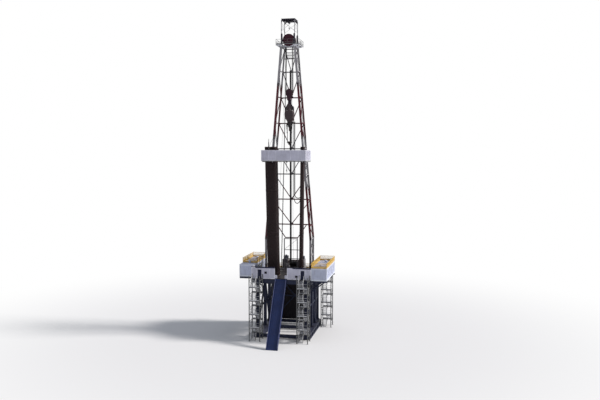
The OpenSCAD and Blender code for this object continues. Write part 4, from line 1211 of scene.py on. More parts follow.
def crown_sheaves():
    """The wheels in the crown block, and the fast line's wheel across them."""
    wheels, fast = Shape(), Shape()
    for y in sheave_rows(CROWN_SHEAVES):
        sheave(wheels, y, CROWN_SPINDLE, SHEAVE_RIM, SHEAVE_GROOVE, 0.0705)
    wheels.make("crown_sheave_wheels", "iron", stands_for="crown_sheaves")
    sheave(fast, FAST_SHEAVE_Y, CROWN_SPINDLE, 0.3, 0.28, 0.0505, "x")
    fast.make("fast_line_wheel", "iron", stands_for="fast_line_sheave")


def crown_block(z):
    """The crown block's plates with their bearings, and the round guards in front and behind."""
    plates = Shape()
    for s in SIDES:
        y = s * 0.332
        centre = Vector((0, y, CROWN_SPINDLE))
        plates.lathe([(0.16, 0), (0.16, s * 0.02), (0.10, s * 0.045), (0.05, s * 0.05)], centre, "y")
        plates.bolts(ring(centre, 0.50, 16), 0.016, s * 0.014)
        for a in (45, 135, 225, 315):
            lift = BACK * (s * 0.012)
            plates.bar(at_angle(centre, 0.17, a) + lift, at_angle(centre, 0.54, a) + lift, 0.022, 0.024)
        plates.box((-0.47, y, z), (0.47, y + s * 0.08, z + 0.025))
        face = s * 0.418
        hub = Vector((0, face, CROWN_SPINDLE))
        middle_z = CROWN_SPINDLE - 0.07
        plates.plate([(p.x, p.z) for p in ring((0, 0, middle_z), 0.66, 56)], *sorted((s * 0.406, face)))
        plates.tube(arc((0, face + s * 0.004, middle_z), 0.645, 0, 360, count=56), 0.012, 6, caps=False)
        plates.bolts(ring((0, face, middle_z), 0.60, 24), 0.014, s * 0.012)
        plates.lathe([(0.15, 0), (0.15, s * 0.012), (0.11, s * 0.03), (0.04, s * 0.034)], hub, "y")
    for a in (0, 50, 130, 180):
        p = at_angle((0, 0, CROWN_SPINDLE), 0.52, a)
        plates.rod((p.x, -0.30, p.z), (p.x, 0.30, p.z), 0.02, 12)
    plates.make("crown_block_fittings", "crown", bevel=0.003)


def gantry_hoist(top):
    """The trolley under the gantry's beam, its drum, rope and hook."""
    hoist = Shape()
    hoist.block(0, 0, 0.09, 0.22, top - 0.20, top - 0.142)
    for y in (-0.15, 0.15):
        for x in (-0.065, 0.065):
            hoist.disc(0.035, 0.012, (x, y, top - 0.15), "x", 16)
    hoist.lathe([(0.02, 0.05), (0.10, 0.05), (0.11, 0.03), (0.11, -0.28), (0.10, -0.30), (0.02, -0.30)],
                (-0.02, 0.02, top - 0.33), "y", 24)
    hoist.tube([(0.0, -0.10, top - 0.42), (0.0, -0.10, top - 0.86)], 0.008, 6)
    hoist.block(0, -0.10, 0.05, 0.03, top - 0.98, top - 0.86)
    hook = arc((0.0, -0.10, top - 1.06), 0.045, 100, -150, count=10)
    hoist.tube([Vector((0, -0.10, top - 0.97)), *hook], 0.013)
    hoist.make("gantry_hoist", "dark_head", bevel=0.003)


def gantry(z, top):
    """The four posts with their bracing, the beams of the head, the sleeves at the foot and the knees."""
    posts, head, sleeves, knees = Shape(), Shape(), Shape(), Shape()
    rows = ((-0.71, 0.91, 1), (0.91, -0.71, -1))
    for s in SIDES:
        x, sleeve_x = s * 0.727, s * 0.6875
        for y, other, t in rows:
            posts.block(x, y, 0.03, 0.03, z + 1.16, top - 0.15)
            posts.tube([(-x, y, top - 1.3), (x, y, top - 0.16)], 0.013)
            posts.tube([(x, y, top - 1.3), (x, other, top - 0.16)], 0.013)
            sleeves.block(sleeve_x, y, 0.0795, 0.08, z, z + 1.12)
            outline = [(sleeve_x + a, z + h) for a, h in ((-0.08, 1.12), (0.08, 1.12), (0.04, 1.2), (-0.04, 1.2))]
            sleeves.plate(outline, y - 0.04, y + 0.04)
            for h in (0.02, 0.6, 1.1):
                sleeves.block(sleeve_x, y, 0.0795, 0.095, z + h, z + h + 0.02)
            knee = ((0.04, 0.15), (0.22, 0.15), (0.04, 0.36))
            knees.plate([(y + t * a, top - h) for a, h in knee], x - 0.008, x + 0.008, "x")
            knees.plate([(x - s * a, top - h) for a, h in knee], y - 0.008, y + 0.008)
        head.h_beam((s * 0.705, -0.75, top - 0.075), (s * 0.705, 0.95, top - 0.075), 0.12, 0.15)
    for y in (-0.69, 0.13, 0.89):
        head.h_beam((-0.645, y, top - 0.075), (0.645, y, top - 0.075), 0.11, 0.14)
    head.box((-0.66, -0.75, top - 0.012), (0.66, 0.95, top))
    head.h_beam((0, -0.63, top - 0.085), (0, 0.83, top - 0.085), 0.1, 0.12)
    posts.make("gantry_posts", "mast_grey", stands_for="crown_gantry")
    head.make("gantry_head", "dark_head", bevel=0.003)
    sleeves.make("gantry_leg_sleeves", "dark_head", bevel=0.004)
    knees.make("gantry_knees", "dark_head")


def crown_access(z):
    """The grips at the ladder's head, and the slatted screen across the top of the mast."""
    grips, screen = Shape(), Shape()
    for y in (1.06, 1.26):
        grips.tube([(1.02, y, z), (1.02, y, z + 0.62)], 0.012, 6)
    grips.make("crown_ladder_grips", "rail_grey")
    for x in steps(-0.56, 0.56, 0.07):
        screen.block(x, 1.04, 0.011, 0.005, 29.94, 30.62)
    for h in (29.97, 30.28, 30.59):
        screen.block(0, 1.05, 0.57, 0.005, h - 0.02, h + 0.02)
    screen.make("mast_top_screen", "mast_grey")


class RIG_OT_crown(bpy.types.Operator):
    """Details the crown: grating, sheaves, plates, the lifting gantry and its hoist."""

    bl_idname = "rig.crown"
    bl_label = "Crown"

    def execute(self, context):
        gantry_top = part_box("crown_gantry")[1].z
        crown_grating(CROWN_DECK)
        crown_beams(CROWN_DECK)
        crown_sheaves()
        crown_block(CROWN_DECK)
        gantry_hoist(gantry_top)
        gantry(CROWN_DECK, gantry_top)
        crown_access(CROWN_DECK)
        return {"FINISHED"}


def travelling_block(z):
    """The block's sheaves, bearing plates, rope guards and spacers."""
    wheels, block = Shape(), Shape()
    for y in sheave_rows(BLOCK_SHEAVES):
        sheave(wheels, y, z, SHEAVE_RIM, SHEAVE_GROOVE, 0.0805)
    wheels.make("block_sheave_wheels", "iron", GEAR, stands_for="block_sheaves")
    for s in SIDES:
        y = s * 0.295
        block.lathe([(0.13, 0), (0.13, s * 0.02), (0.09, s * 0.04), (0.03, s * 0.045)], (0, y, z), "y")
        block.bolts(ring((0, y, z), 0.11, 8), 0.012, s * 0.028)
        for x in (-0.22, 0.22):
            block.bar((x, y + s * 0.008, z - 0.15), (x, y + s * 0.008, z + 0.22), 0.03, 0.016)
        block.bolts([(x, y, z + h) for x in (-0.12, 0.12) for h in (0.42, -0.45, -0.66)], 0.02, s * 0.018)
        block.tube(arc((0, y - s * 0.02, z), 0.395, 20, 160, count=16), 0.012)
        block.rod((s * 0.13, -0.255, z + 0.44), (s * 0.13, 0.255, z + 0.44), 0.03, 16)
    for x in (-0.371, -0.2, 0.2, 0.371):
        h = math.sqrt(0.395 ** 2 - x ** 2)
        block.rod((x, -0.275, z + h), (x, 0.275, z + h), 0.012)
    block.block(0, 0, 0.13, 0.255, z + 0.455, z + 0.498)
    block.make("block_fittings", "gear", GEAR, bevel=0.003)


def hook_and_bails(z):
    """The swivelling hook body and the two round bails that carry the top drive."""
    hook = Shape()
    hook.lathe([(0.0, 0.0), (0.165, 0), (0.17, -0.02), (0.17, -0.12), (0.14, -0.135), (0.14, -0.155),
                (0.17, -0.17), (0.17, -0.30), (0.12, -0.35), (0, -0.35)], (0, 0, z), "z", 40)
    for p in ring((0, 0, z - 0.172), 0.155, 12, "xy"):
        hook.lathe([(0.012, 0), (0.012, 0.012)], p, "z", 6)
    bail = ((0.06, 0.2), (0.095, 0.3), (0.19, 0.43), (0.3, 0.61), (0.38, 0.8), (0.42, 0.97), (0.43, 1.1))
    for s in SIDES:
        hook.tube(smooth_route([Vector((s * x, 0, z - h)) for x, h in bail], 6), 0.052, 16)
        hook.lathe([(0.075, -0.07), (0.085, -0.05), (0.085, 0.05), (0.075, 0.07)], (s * 0.43, 0, z - 1.03), "y", 20)
    hook.slot = 1
    half = ((0.10, 0.34), (0.36, 0.86), (0.36, 1.04))
    outline = [(x, z - h) for x, h in half] + [(-x, z - h) for x, h in reversed(half)]
    for y in (-0.15, 0.13):
        hook.plate(outline, y, y + 0.02)
        for x in (-0.2, 0.2):
            hook.bolts([(x, y + 0.02, z - 0.92), (x * 0.5, y + 0.02, z - 0.55)], 0.014, 0.012)
    for h, reach in ((-0.46, 0.10), (-0.70, 0.20), (-0.94, 0.30)):
        hook.box((-reach, -0.158, z + h - 0.012), (reach, -0.15, z + h + 0.012))
    hook.make("hook_and_round_bails", ("dark_head", "guard"), GEAR, bevel=0.003, stands_for="hook_and_bail")


def top_drive(z):
    """Covers, motors and their ribs, the gooseneck and the pipes on the body of the top drive."""
    cover, pipes = Shape(), Shape()
    for s in SIDES:
        motor = (s * 0.20, -0.205, z - 0.35)
        cover.lathe([(0.0, 0.36), (0.10, 0.36), (0.125, 0.33), (0.125, 0.02), (0.14, 0.0), (0.14, -0.12)],
                    motor, "z", 28)
        for p in ring(motor, 0.126, 10, "xy"):
            cover.block(p.x, p.y, 0.006, 0.006, z - 0.30, z - 0.05)
        cover.block(s * 0.30, 0.229, 0.09, 0.069, z - 0.9, z - 0.3)
        cover.bolts([(s * 0.30 + dx, 0.298, z - h) for dx in (-0.07, 0.07) for h in (0.34, 0.6, 0.86)], 0.011, 0.01)
    cover.box((-0.13, -0.328, z - 0.82), (0.13, -0.28, z - 0.50))
    cover.bolts([(x, -0.328, z - h) for x in (-0.11, 0.11) for h in (0.53, 0.79)], 0.012, -0.010)
    cover.disc(0.25, 0.012, (0, 0, z - 1.1), "z", 36)
    cover.make("top_drive_covers", "guard", GEAR, bevel=0.004)
    swan = arc((0.27, 0.2, z + 0.30), 0.17, 0, 150, "xz", 10)
    pipes.tube([Vector((0.44, 0.2, z - 0.1)), *swan, Vector((0.03, 0.1, z + 0.40))], 0.036, 14)
    pipes.lathe([(0.06, 0), (0.06, 0.03), (0.045, 0.04), (0.045, 0.10)], (0.44, 0.2, z - 0.14), "z", 18)
    for x in (-0.27, -0.24):
        pipes.tube([(x, -0.31, z - 0.8), (x, -0.33, z - 0.5), (x, -0.325, z - 0.4)], 0.012, 6)
    for h in (-1.1, -0.1):
        for s in SIDES:
            for y in (0.36, 0.64):
                pipes.lathe([(0.045, 0), (0.045, s * 0.05)], (s * 0.156, y, z + h), "x", 20)
    pipes.make("top_drive_pipes", "dark", GEAR, bevel=0.002)


def pipe_handler(top):
    """The rotating head's collars and ribs, the tilt cylinders and the saver sub."""
    head, sub = Shape(), Shape()
    for h in (-0.02, -0.38):
        head.disc(0.26, 0.018, (0, 0, top + h), "z", 36)
    for p in ring((0, 0, 0), 0.238, 12, "xy"):
        head.block(p.x, p.y, 0.012, 0.012, top - 0.36, top - 0.04)
    for s in SIDES:
        head.tube([(s * 0.315, -0.10, top - 0.28), (s * 0.29, -0.13, top - 0.80)], 0.028, 12)
        head.tube([(s * 0.29, -0.13, top - 0.78), (s * 0.27, -0.10, top - 1.15)], 0.014, 10)
        head.block(s * 0.27, -0.077, 0.03, 0.043, top - 1.20, top - 1.12)
    head.make("pipe_handler_fittings", "dark", GEAR, bevel=0.003)
    sub.lathe([(0.0, -0.57), (0.075, -0.57), (0.08, -0.60), (0.08, -0.85), (0.06, -0.88), (0.06, -0.98), (0, -0.98)],
              (0, 0, top), "z", 28)
    sub.make("saver_sub", "joint", GEAR)


def elevator_links(pin):
    """The two link bars with an eye at each end."""
    links = Shape()
    for s in SIDES:
        links.tube([(s * 0.225, 0, pin - 0.07), (s * 0.225, 0, pin - 1.67)], 0.031, 12)
        for h in (0, -1.74):
            eye = arc((s * 0.225, 0, pin + h), 0.0505, 0, 360, "yz", 20)
            eye[-1] = eye[0]
            links.tube(eye, 0.0205, 10, caps=False)
    links.make("link_bars", "links", GEAR, stands_for="elevator_links")


def elevator(low):
    """The elevator's ring, its ears, and the hinge and latch."""
    body = Shape()
    body.lathe([(0.034, 0.35), (0.034, 0.0), (0.11, 0.0), (0.15, 0.06), (0.155, 0.09), (0.155, 0.16), (0.145, 0.18),
                (0.145, 0.29), (0.15, 0.31), (0.14, 0.35)], (0, 0, low), "z", 40, hole=True)
    ear = ((0.0, 0.11), (0.066, 0.11), (0.066, 0.18), (0.05, 0.19), (0.03, 0.19), (0.03, 0.262),
           (0.046, 0.266), (0.046, 0.285), (0, 0.285))
    for s in SIDES:
        body.lathe([(r, s * x) for r, x in ear], (0, 0, low + 0.225), "x", 24)
    body.box((-0.06, -0.21, low + 0.10), (0.06, -0.135, low + 0.26))
    body.rod((0, -0.18, low + 0.08), (0, -0.18, low + 0.29), 0.016, 12)
    body.tube([(0.055, -0.17, low + 0.18), (0.13, -0.19, low + 0.16), (0.2, -0.17, low + 0.12)], 0.012)
    body.rod((0, 0.148, low + 0.04), (0, 0.148, low + 0.32), 0.024, 12)
    body.make("elevator_body", "links", GEAR, bevel=0.003, stands_for="elevator")


class RIG_OT_gear(bpy.types.Operator):
    """Details the travelling block, hook, top drive, pipe handler, links and elevator."""

    bl_idname = "rig.gear"
    bl_label = "Travelling gear"

    def execute(self, context):
        travelling_block(BLOCK_SPINDLE)
        hook_and_bails(BLOCK_SPINDLE - 0.75)
        top_drive(BLOCK_SPINDLE - 1.85)
        pipe_handler(BLOCK_SPINDLE - 3.1)
        elevator_links(BLOCK_SPINDLE - 3.585)
        elevator(BLOCK_SPINDLE - 5.55)
        return {"FINISHED"}


def mast_joints():
    """Splice plates and bolts where the mast's sections meet."""
    plates, pins = Shape(), Shape()
    for z in (*MAST_JOINTS, 7.2):
        for s in SIDES:
            plates.turn = pins.turn = leaning(s, z)
            for y, half in LEGS:
                for e in SIDES:
                    face = y + e * (half + 0.014)
                    plates.box((-half, y + e * half, -0.16), (half, face, 0.16))
                    pins.bolts([(x, face, h) for x in (-half * 0.6, half * 0.6) for h in (-0.11, -0.04, 0.04, 0.11)],
                               0.014, e * 0.012)
                for h in (-0.165, 0.165):
                    plates.block(0, y, half + 0.012, half + 0.012, h - 0.007, h + 0.007)
    plates.make("mast_joint_plates", "mast_joint")
    pins.make("mast_joint_bolts", "dark")


def mast_gussets():
    """Gussets where the back beams and the braces meet the legs."""
    gussets = Shape()
    for n, z in enumerate(BACK_BEAMS):
        x = leg_x(z)
        for s in SIDES:
            tip, edge = s * (x - 0.30), s * (x - 0.09)
            gussets.plate([(tip, z - 0.05), (edge, z - 0.16), (edge, z + 0.10)], 1.03, 1.07)
            gussets.turn = leaning(s, z)
            for y, t in ((FRONT_LEG_Y + 0.09, 0.19), (REAR_LEG_Y - 0.06, -0.19)):
                gussets.plate([(y, -0.13), (y + t, -0.04), (y + t, 0.04), (y, 0.20)], -0.012, 0.012, "x")
            gussets.turn = None
        if n < len(BACK_BEAMS) - 1:
            gussets.plate([(-0.24, z + 0.05), (0.24, z + 0.05), (0.13, z + 0.22), (-0.13, z + 0.22)], 1.03, 1.07)
    gussets.make("mast_gussets", "mast_grey")


def mast_feet():
    """Lugs, pins and holding bolts at the feet of the legs."""
    feet = Shape()
    for x in (-MAST_HALF, MAST_HALF):
        for y, half in LEGS:
            for e in (-half - 0.012, half + 0.012):
                for a, b, axis in ((x, y, "y"), (y, x, "x")):
                    outline = [(a - half, MAST_FOOT), (a + half, MAST_FOOT), (a + half * 0.6, MAST_FOOT + 0.25),
                               (a - half * 0.6, MAST_FOOT + 0.25)]
                    feet.plate(outline, b + e - 0.010, b + e + 0.010, axis)
            feet.rod((x, y - half - 0.05, 6.70), (x, y + half + 0.05, 6.70), 0.035, 18)
            feet.bolts([(x + a, y + b, MAST_FOOT) for a in (-0.17, 0.17) for b in (-0.17, 0.17)], 0.022, 0.03, "z")
    feet.make("mast_foot_lugs", "navy", bevel=0.003)


def ladder_x(z):
    """The ladder stands a little outside the left side panel."""
    return -leg_x(z) - 0.09


def mast_ladder():
    """The ladder's stringers with their ties to the side panel, and its rungs."""
    ladder = Shape()
    low_z, rise, rungs = 6.9, 0.15, 161
    for y in (0.05, 0.25):
        turns = [(ladder_x(z), y, z) for z in (MAST_FOOT, MAST_KNEE, MAST_TOP)]
        ladder.tube([*turns, (ladder_x(MAST_TOP), y, 31.9)], 0.012, 6)
        for z in BACK_BEAMS:
            ladder.tube([(ladder_x(z), y, z), (-leg_x(z) + 0.045, y, z)], 0.010, 6)
    for z in (low_z + rise * k for k in range(rungs)):
        ladder.tube([(ladder_x(z), 0.05, z), (ladder_x(z), 0.25, z)], 0.007, 5, caps=False)
    ladder.make("mast_ladder", "rail_grey")


def ladder_cage():
    """Hoops and straps round the ladder."""
    cage = Shape()
    angles = [math.radians(a) for a in range(0, 181, 20)]
    bands = [8.2 + 0.45 * k for k in range(50)]

    def hoop(z):
        return [Vector((ladder_x(z) - 0.22 * math.sin(a), 0.15 + 0.17 * math.cos(a), z)) for a in angles]

    for z in bands:
        points = hoop(z)
        for a, b in zip(points, points[1:]):
            cage.bar(a, b, 0.022, 0.005)
    for k in (1, 3, 5, 7, 8):
        cage.tube([hoop(z)[k] for z in (bands[0], MAST_KNEE, bands[-1])], 0.006, 4)
    cage.make("ladder_cage", "rail_grey")


def cable_tray():
    """A tray with five cables up the inside of the right side panel."""
    tray = Shape()
    for a, b in ((6.6, MAST_KNEE), (MAST_KNEE, MAST_TOP)):
        xa, xb = leg_x(a) - 0.07, leg_x(b) - 0.07
        for y in (0.62, 0.78):
            tray.bar((xa, y, a), (xb, y, b), 0.012, 0.04)
        for k in range(5):
            tray.tube([(xa, 0.64 + 0.03 * k, a), (xb, 0.64 + 0.03 * k, b)], 0.011, 6)
    for z in steps(6.7, 30.9, 0.45):
        tray.block(leg_x(z) - 0.057, 0.70, 0.006, 0.10, z - 0.012, z + 0.012)
    for z in BACK_BEAMS:
        tray.block(leg_x(z) - 0.065, 0.70, 0.025, 0.10, z - 0.03, z + 0.03)
    tray.make("cable_tray", "dark")


class RIG_OT_mast(bpy.types.Operator):
    """Adds the joints, gussets, feet, ladder and cable tray of the mast."""

    bl_idname = "rig.mast"
    bl_label = "Mast detail"

    def execute(self, context):
        mast_joints()
        mast_gussets()
        mast_feet()
        mast_ladder()
        ladder_cage()
        cable_tray()
        return {"FINISHED"}


def guide_rail_fittings():
    """Fishplates and bolts at the rail's joints, and its brackets to the back beams."""
    rail = Shape()
    for z in (9.6, 12.6, 15.4, 18.2, 21.0, 23.8, 26.6):
        rail.box((-0.075, 0.70, z - 0.14), (0.075, 0.716, z + 0.14))
        rail.bolts([(x, 0.716, z + h) for x in (-0.045, 0.045) for h in (-0.10, -0.035, 0.035, 0.10)], 0.012, 0.012)
    for z in BACK_BEAMS:
        rail.box((-0.10, 0.99, z - 0.09), (0.10, 1.0, z + 0.09))
        for x in (-0.045, 0.045):
            rail.plate([(0.70, z - 0.05), (0.70, z - 0.20), (0.86, z - 0.05)], x - 0.006, x + 0.006, "x")
    rail.make("guide_rail_fittings", "dark")


def standpipe_fittings():
    """Flanges, the valve with its hand wheel, clamps and the pipe down to the floor."""
    pipe = Shape()
    x, y, valve_z = 1.13, 0.9, 7.35
    for z in (8.6, 10.9, 13.3, 15.7):
        pipe.lathe([(0.045, -0.06), (0.06, -0.05), (0.085, -0.05), (0.085, 0.05), (0.06, 0.05), (0.045, 0.06)],
                   (x, y, z), "z", 24)
        for p in ring((x, y, z), 0.07, 8, "xy"):
            pipe.disc(0.009, 0.062, p, "z", 6)
    pipe.disc(0.075, 0.035, (x, 0.62, 17.235), "z", 24)
    pipe.lathe([(0.045, -0.16), (0.08, -0.13), (0.08, -0.10), (0.062, -0.09), (0.062, 0.09), (0.08, 0.10),
                (0.08, 0.13), (0.045, 0.16)], (x, y, valve_z), "z", 24)
    wheel = (x, 0.72, valve_z)
    pipe.rod((x, y, valve_z), wheel, 0.03, 12)
    pipe.tube(arc(wheel, 0.10, 0, 360, "xz", 20), 0.009, 6, caps=False)
    for a in (0, 60, 120):
        pipe.rod(at_angle(wheel, 0.10, a), at_angle(wheel, 0.10, a + 180), 0.007, 5)
    foot = (x + 0.2, 1.42, FLOOR)
    pipe.tube([(x, y, 6.75), (x + 0.14, y, 6.75), (x + 0.2, y + 0.06, 6.75), (x + 0.2, 1.35, 6.75),
               (x + 0.2, 1.42, 6.68), foot], 0.036, 14)
    pipe.lathe([(0.07, 0), (0.07, 0.025)], foot, "z", 20)
    for z in BACK_BEAMS[:3]:
        pipe.disc(0.055, 0.025, (x, y, z))
    pipe.make("standpipe_fittings", "grey")


def service_route():
    """Down from the fixed end, round a half circle and up to the moving end."""
    a, b = SERVICE_ENDS
    half = (Vector((b.x, b.y, 0)) - Vector((a.x, a.y, 0))) / 2
    middle_low = Vector((a.x, a.y, SERVICE_LOOP)) + half
    turn = [math.pi * k / 24 for k in range(25)]
    return [a, *(middle_low - half * math.cos(t) - UP * (half.length * math.sin(t)) for t in turn), b]


def hose_run(name, run, radius, blend, stands_for=None):
    """One run of a hose as a tube between the mast and the travelling gear, its placing baked into the mesh."""
    run = resampled(run, 0.12)
    tube = Shape()
    tube.tube(run, radius, 14)
    piece = tube.make(name, "hose", stands_for=stands_for, blend=blend)


def hoses():
    """Two hoses, each in two runs that meet at the bottom of its loop."""
    mud_route = smooth_route([Vector(p) for p in HOSE_ROUTE], 4)
    for name, route, radius, fixed_end, moving_start, node in (
            ("mud_hose", mud_route, HOSE_RADIUS, 10.9, 4.85, "mud_hose"),
            ("service_hose", service_route(), SERVICE_RADIUS, 12.1, 5.95, None)):
        low = min(range(len(route)), key=lambda k: route[k].z)
        hose_run(f"{name}_fixed_run", route[:low + 1], radius, (route[0].z, fixed_end), node)
        hose_run(f"{name}_moving_run", route[:low - 1:-1], radius, (moving_start, route[-1].z), node)


def hose_fittings():
    """The couplings at the top drive, and the clamp of the service hose beside the standpipe."""
    ends, clamp = Shape(), Shape()
    ends.lathe([(0.041, -0.22), (0.052, -0.20), (0.052, -0.02), (0.060, 0.0), (0.060, 0.03), (0.046, 0.04)],
               HOSE_ROUTE[-1], "z", 24)
    x, y, z = SERVICE_ENDS[1]
    ends.lathe([(0.044, -0.16), (0.054, -0.15), (0.054, 0.0), (0.0, 0.01)], (x, y, z), "z", 20)
    ends.box((0.20, y - 0.03, z), (x + 0.05, y + 0.03, z + 0.05))
    ends.make("hose_couplings", "joint", GEAR, bevel=0.002)
    x, y, z = SERVICE_ENDS[0]
    clamp.lathe([(0.044, -0.12), (0.054, -0.11), (0.054, 0.02), (0.0, 0.03)], (x, y, z), "z", 20)
    clamp.box((x - 0.035, y - 0.03, z), (x + 0.035, 0.93, z + 0.05))
    clamp.box((1.13, 0.87, z), (x - 0.035, 0.93, z + 0.05))
    clamp.make("service_hose_clamp", "joint", bevel=0.002)


class RIG_OT_rails_and_pipes(bpy.types.Operator):
    """Details the guide rail, the standpipe and the two hoses."""

    bl_idname = "rig.pipes"
    bl_label = "Guide rail, standpipe and hoses"

    def execute(self, context):
        guide_rail_fittings()
        standpipe_fittings()
        hoses()
        hose_fittings()
        return {"FINISHED"}


def board_platform(z):
    """The walkway round the board, its post, the beams and braces below and the finger latches."""
    walk, post, under, latch = Shape(), Shape(), Shape(), Shape()
    walk.grating((-2.35, -3.06, z), (2.35, -2.70, z + 0.02))
    post.lathe([(0.09, 0.0), (0.09, 0.015), (0.05, 0.02), (0.045, 1.9), (0.03, 1.93), (0.022, 2.25), (0.0, 2.26)],
               (-1.61, -2.93, z + 0.02), "z", 16)
    for x in (-2.0, -1.2, -0.4, 0.4, 1.2, 2.0):
        under.h_beam((x, -3.1, z - 0.12), (x, -2.7, z - 0.12), 0.07, 0.12, 0.008)
    for s in SIDES:
        walk.box((s * 2.36, -2.7, z), (s * 2.27, -0.3, z + 0.012))
        for y in steps(-2.7, -0.3, 0.4):
            under.box((s * 2.39, y - 0.006, z - 0.16), (s * 2.28, y + 0.006, z - 0.01))
        under.tube([(s * 2.3, -2.9, z - 0.06), (s * leg_x(z + 2.6), FRONT_LEG_Y - 0.1, z + 2.6)], 0.016)
        for k in range(8):
            y = RACK_FRONT + RACK_PITCH * (k - 0.5)
            for x in steps(0.64, 2.26, 0.118):
                latch.box((s * x - 0.006, y - 0.055, z), (s * x + 0.006, y + 0.03, z + 0.022))
            latch.box((s * 0.60, y - 0.035, z - 0.09), (s * 0.66, y + 0.035, z + 0.01))
    walk.make("board_walkway", "grating")
    post.make("board_post", "dark")
    under.make("board_braces", "board_grey")
    latch.make("finger_latches", "yellow_worn")


def monkey_board(z):
    """The narrow walkway out to the well, with a railing on both sides."""
    dive = Shape()
    dive.grating((-0.28, -2.7, z - 0.03), (0.28, -1.35, z), "y")
    for x in (-0.277, 0.277):
        dive.block(x, -2.025, 0.003, 0.675, z - 0.09, z)
    for x in (-0.265, 0.265):
        dive.railing([(x, -2.68, z), (x, -1.365, z)], 0.5, 0.6, toe=0.06)
    dive.make("monkey_board", "board_grey")


def chain_hoist(top):
    """A hoist below the monkey board: its hanger, wheel, chain, weight and hook."""
    chain = Shape()
    y, link, count = -1.44, 0.062, 16
    chain.block(0, y, 0.05, 0.03, top - 0.06, top)
    chain.lathe([(0.02, -0.05), (0.075, -0.05), (0.085, 0.0), (0.075, 0.05), (0.02, 0.05)], (0, y, top - 0.13), "y", 20)
    for k in range(count):
        centre = Vector((0, y, top - 0.24 - k * 0.75 * link))
        across = RIGHT if k % 2 else BACK
        turns = (2 * math.pi * j / 10 for j in range(11))
        chain.tube([centre + across * (0.024 * math.cos(a)) + UP * (0.5 * link * math.sin(a)) for a in turns],
                   0.009, 6, caps=False)
    low = top - 0.24 - count * 0.75 * link
    chain.lathe([(0.0, 0.03), (0.035, 0.02), (0.05, -0.02), (0.05, -0.14), (0.02, -0.17), (0.0, -0.17)],
                (0, y, low), "z", 20)
    hook = arc((0, y, low - 0.24), 0.05, 95, -140, count=10)
    chain.tube([Vector((0, y, low - 0.16)), *hook], 0.014)
    chain.make("board_chain_hoist", "dark")


def stands_of_pipe():
    """Tool joints of the stands and the wooden setback below them."""
    joints, sill = Shape(), Shape()
    rows = [RACK_FRONT + RACK_PITCH * k for k in range(7)]
    left = [(-0.8 - 0.112 * i, -1.02 - 0.118 * i, y, 0.036) for y in rows for i in range(10)]
    right = [(1.58 + 0.125 * i, 1.73 + 0.125 * i, y, 0.05) for y in rows[1:5] for i in range(3)]
    for foot, board, y, r in left + right:
        slope = (board - foot) / (BOARD - FLOOR)
        for h in (0.12, 4.55, 9.1, 13.6):
            a, b = (Vector((foot + slope * up, y, FLOOR + up)) for up in (h, h + 0.26))
            cone = (b - a) * 0.22
            joints.tube([a, a + cone, b - cone, b], [r + 0.001, r + 0.013, r + 0.013, r + 0.001], 10)
    joints.make("pipe_tool_joints", "pipe")
    for x0, x1, y0, y1 in ((-1.96, -0.66, -2.68, -1.28), (1.46, 1.96, -2.50, -1.62)):
        for y in steps(y0, y1, 0.12):
            sill.box((x0, y - 0.055, FLOOR), (x1, y + 0.055, FLOOR + 0.02))
    sill.make("setback_boards", "timber")


class RIG_OT_board(bpy.types.Operator):
    """Details the racking board and puts tool joints on the stands of pipe."""

    bl_idname = "rig.board"
    bl_label = "Racking board and pipe"

    def execute(self, context):
        board_platform(BOARD)
        monkey_board(BOARD)
        chain_hoist(BOARD - 0.03)
        stands_of_pipe()
        return {"FINISHED"}


def wound_rope(y, z):
    """The layer of rope wound on the drum, as a wave along it."""
    wound = Shape()
    count, half = 44, 0.515
    pitch = 2 * half / count
    profile = [(0.2805 + 0.009 * top, -half + pitch * (k + 0.5 * top)) for k in range(count) for top in (0, 1)]
    wound.lathe([*profile, (0.2805, half)], (0, y, z), "x", 40)
    wound.make("wound_rope", "rope")


def drawworks_guards(y, z):
    """Battens, bolts, covers and louvres on the guards beside the drum."""
    guard = Shape()
    for s in SIDES:
        for h in (0.22, 0.95):
            guard.box((s * 0.70, 1.838, FLOOR + h), (s * 1.20, 1.85, FLOOR + h + 0.05))
        for x in (0.72, 0.88, 1.04, 1.20):
            guard.block(s * x, 1.843, 0.012, 0.007, FLOOR + 0.2, FLOOR + 1.12)
        guard.bolts([(s * x, 1.836, FLOOR + h) for x in (0.64, 0.80, 0.96, 1.12, 1.22) for h in (0.2, 1.1)],
                    0.013, -0.012)
        guard.lathe([(0.0, 0.0), (0.17, 0.0), (0.18, s * 0.012), (0.10, s * 0.04), (0.0, s * 0.045)],
                    (s * 1.25, y, z), "x")
        for h in (0.5, 0.62, 0.74, 0.86):
            guard.box((s * 1.25, 1.95, FLOOR + h), (s * 1.262, 2.12, FLOOR + h + 0.03))
    guard.make("drawworks_guards", "grey", bevel=0.002)


def drawworks_motors(y):
    """Cooling fins, end bells and terminal boxes of the motors, and the blowers before them."""
    motors = Shape()
    for s in SIDES:
        centre = (0, y + 0.2, FLOOR + 1.34)
        for x in steps(0.70, 1.16, 0.038):
            fin = ((0.176, -0.006), (0.190, -0.006), (0.190, 0.006), (0.176, 0.006))
            motors.lathe([(r, s * x + h) for r, h in fin], centre, "x", hole=True)
        motors.lathe([(0.0, s * 1.235), (0.06, s * 1.235), (0.15, s * 1.215), (0.17, s * 1.20)], centre, "x", 28)
        motors.block(s * 0.93, y + 0.20, 0.09, 0.08, FLOOR + 1.51, FLOOR + 1.60)
        motors.lathe([(0.05, 0), (0.05, 0.10)], (s * 0.72, y - 0.22, FLOOR + 1.15), "z", 20)
        motors.block(s * 0.93, y - 0.26, 0.16, 0.14, FLOOR + 1.15, FLOOR + 1.27)
    motors.make("drawworks_motors", "motor_blue", bevel=0.003)


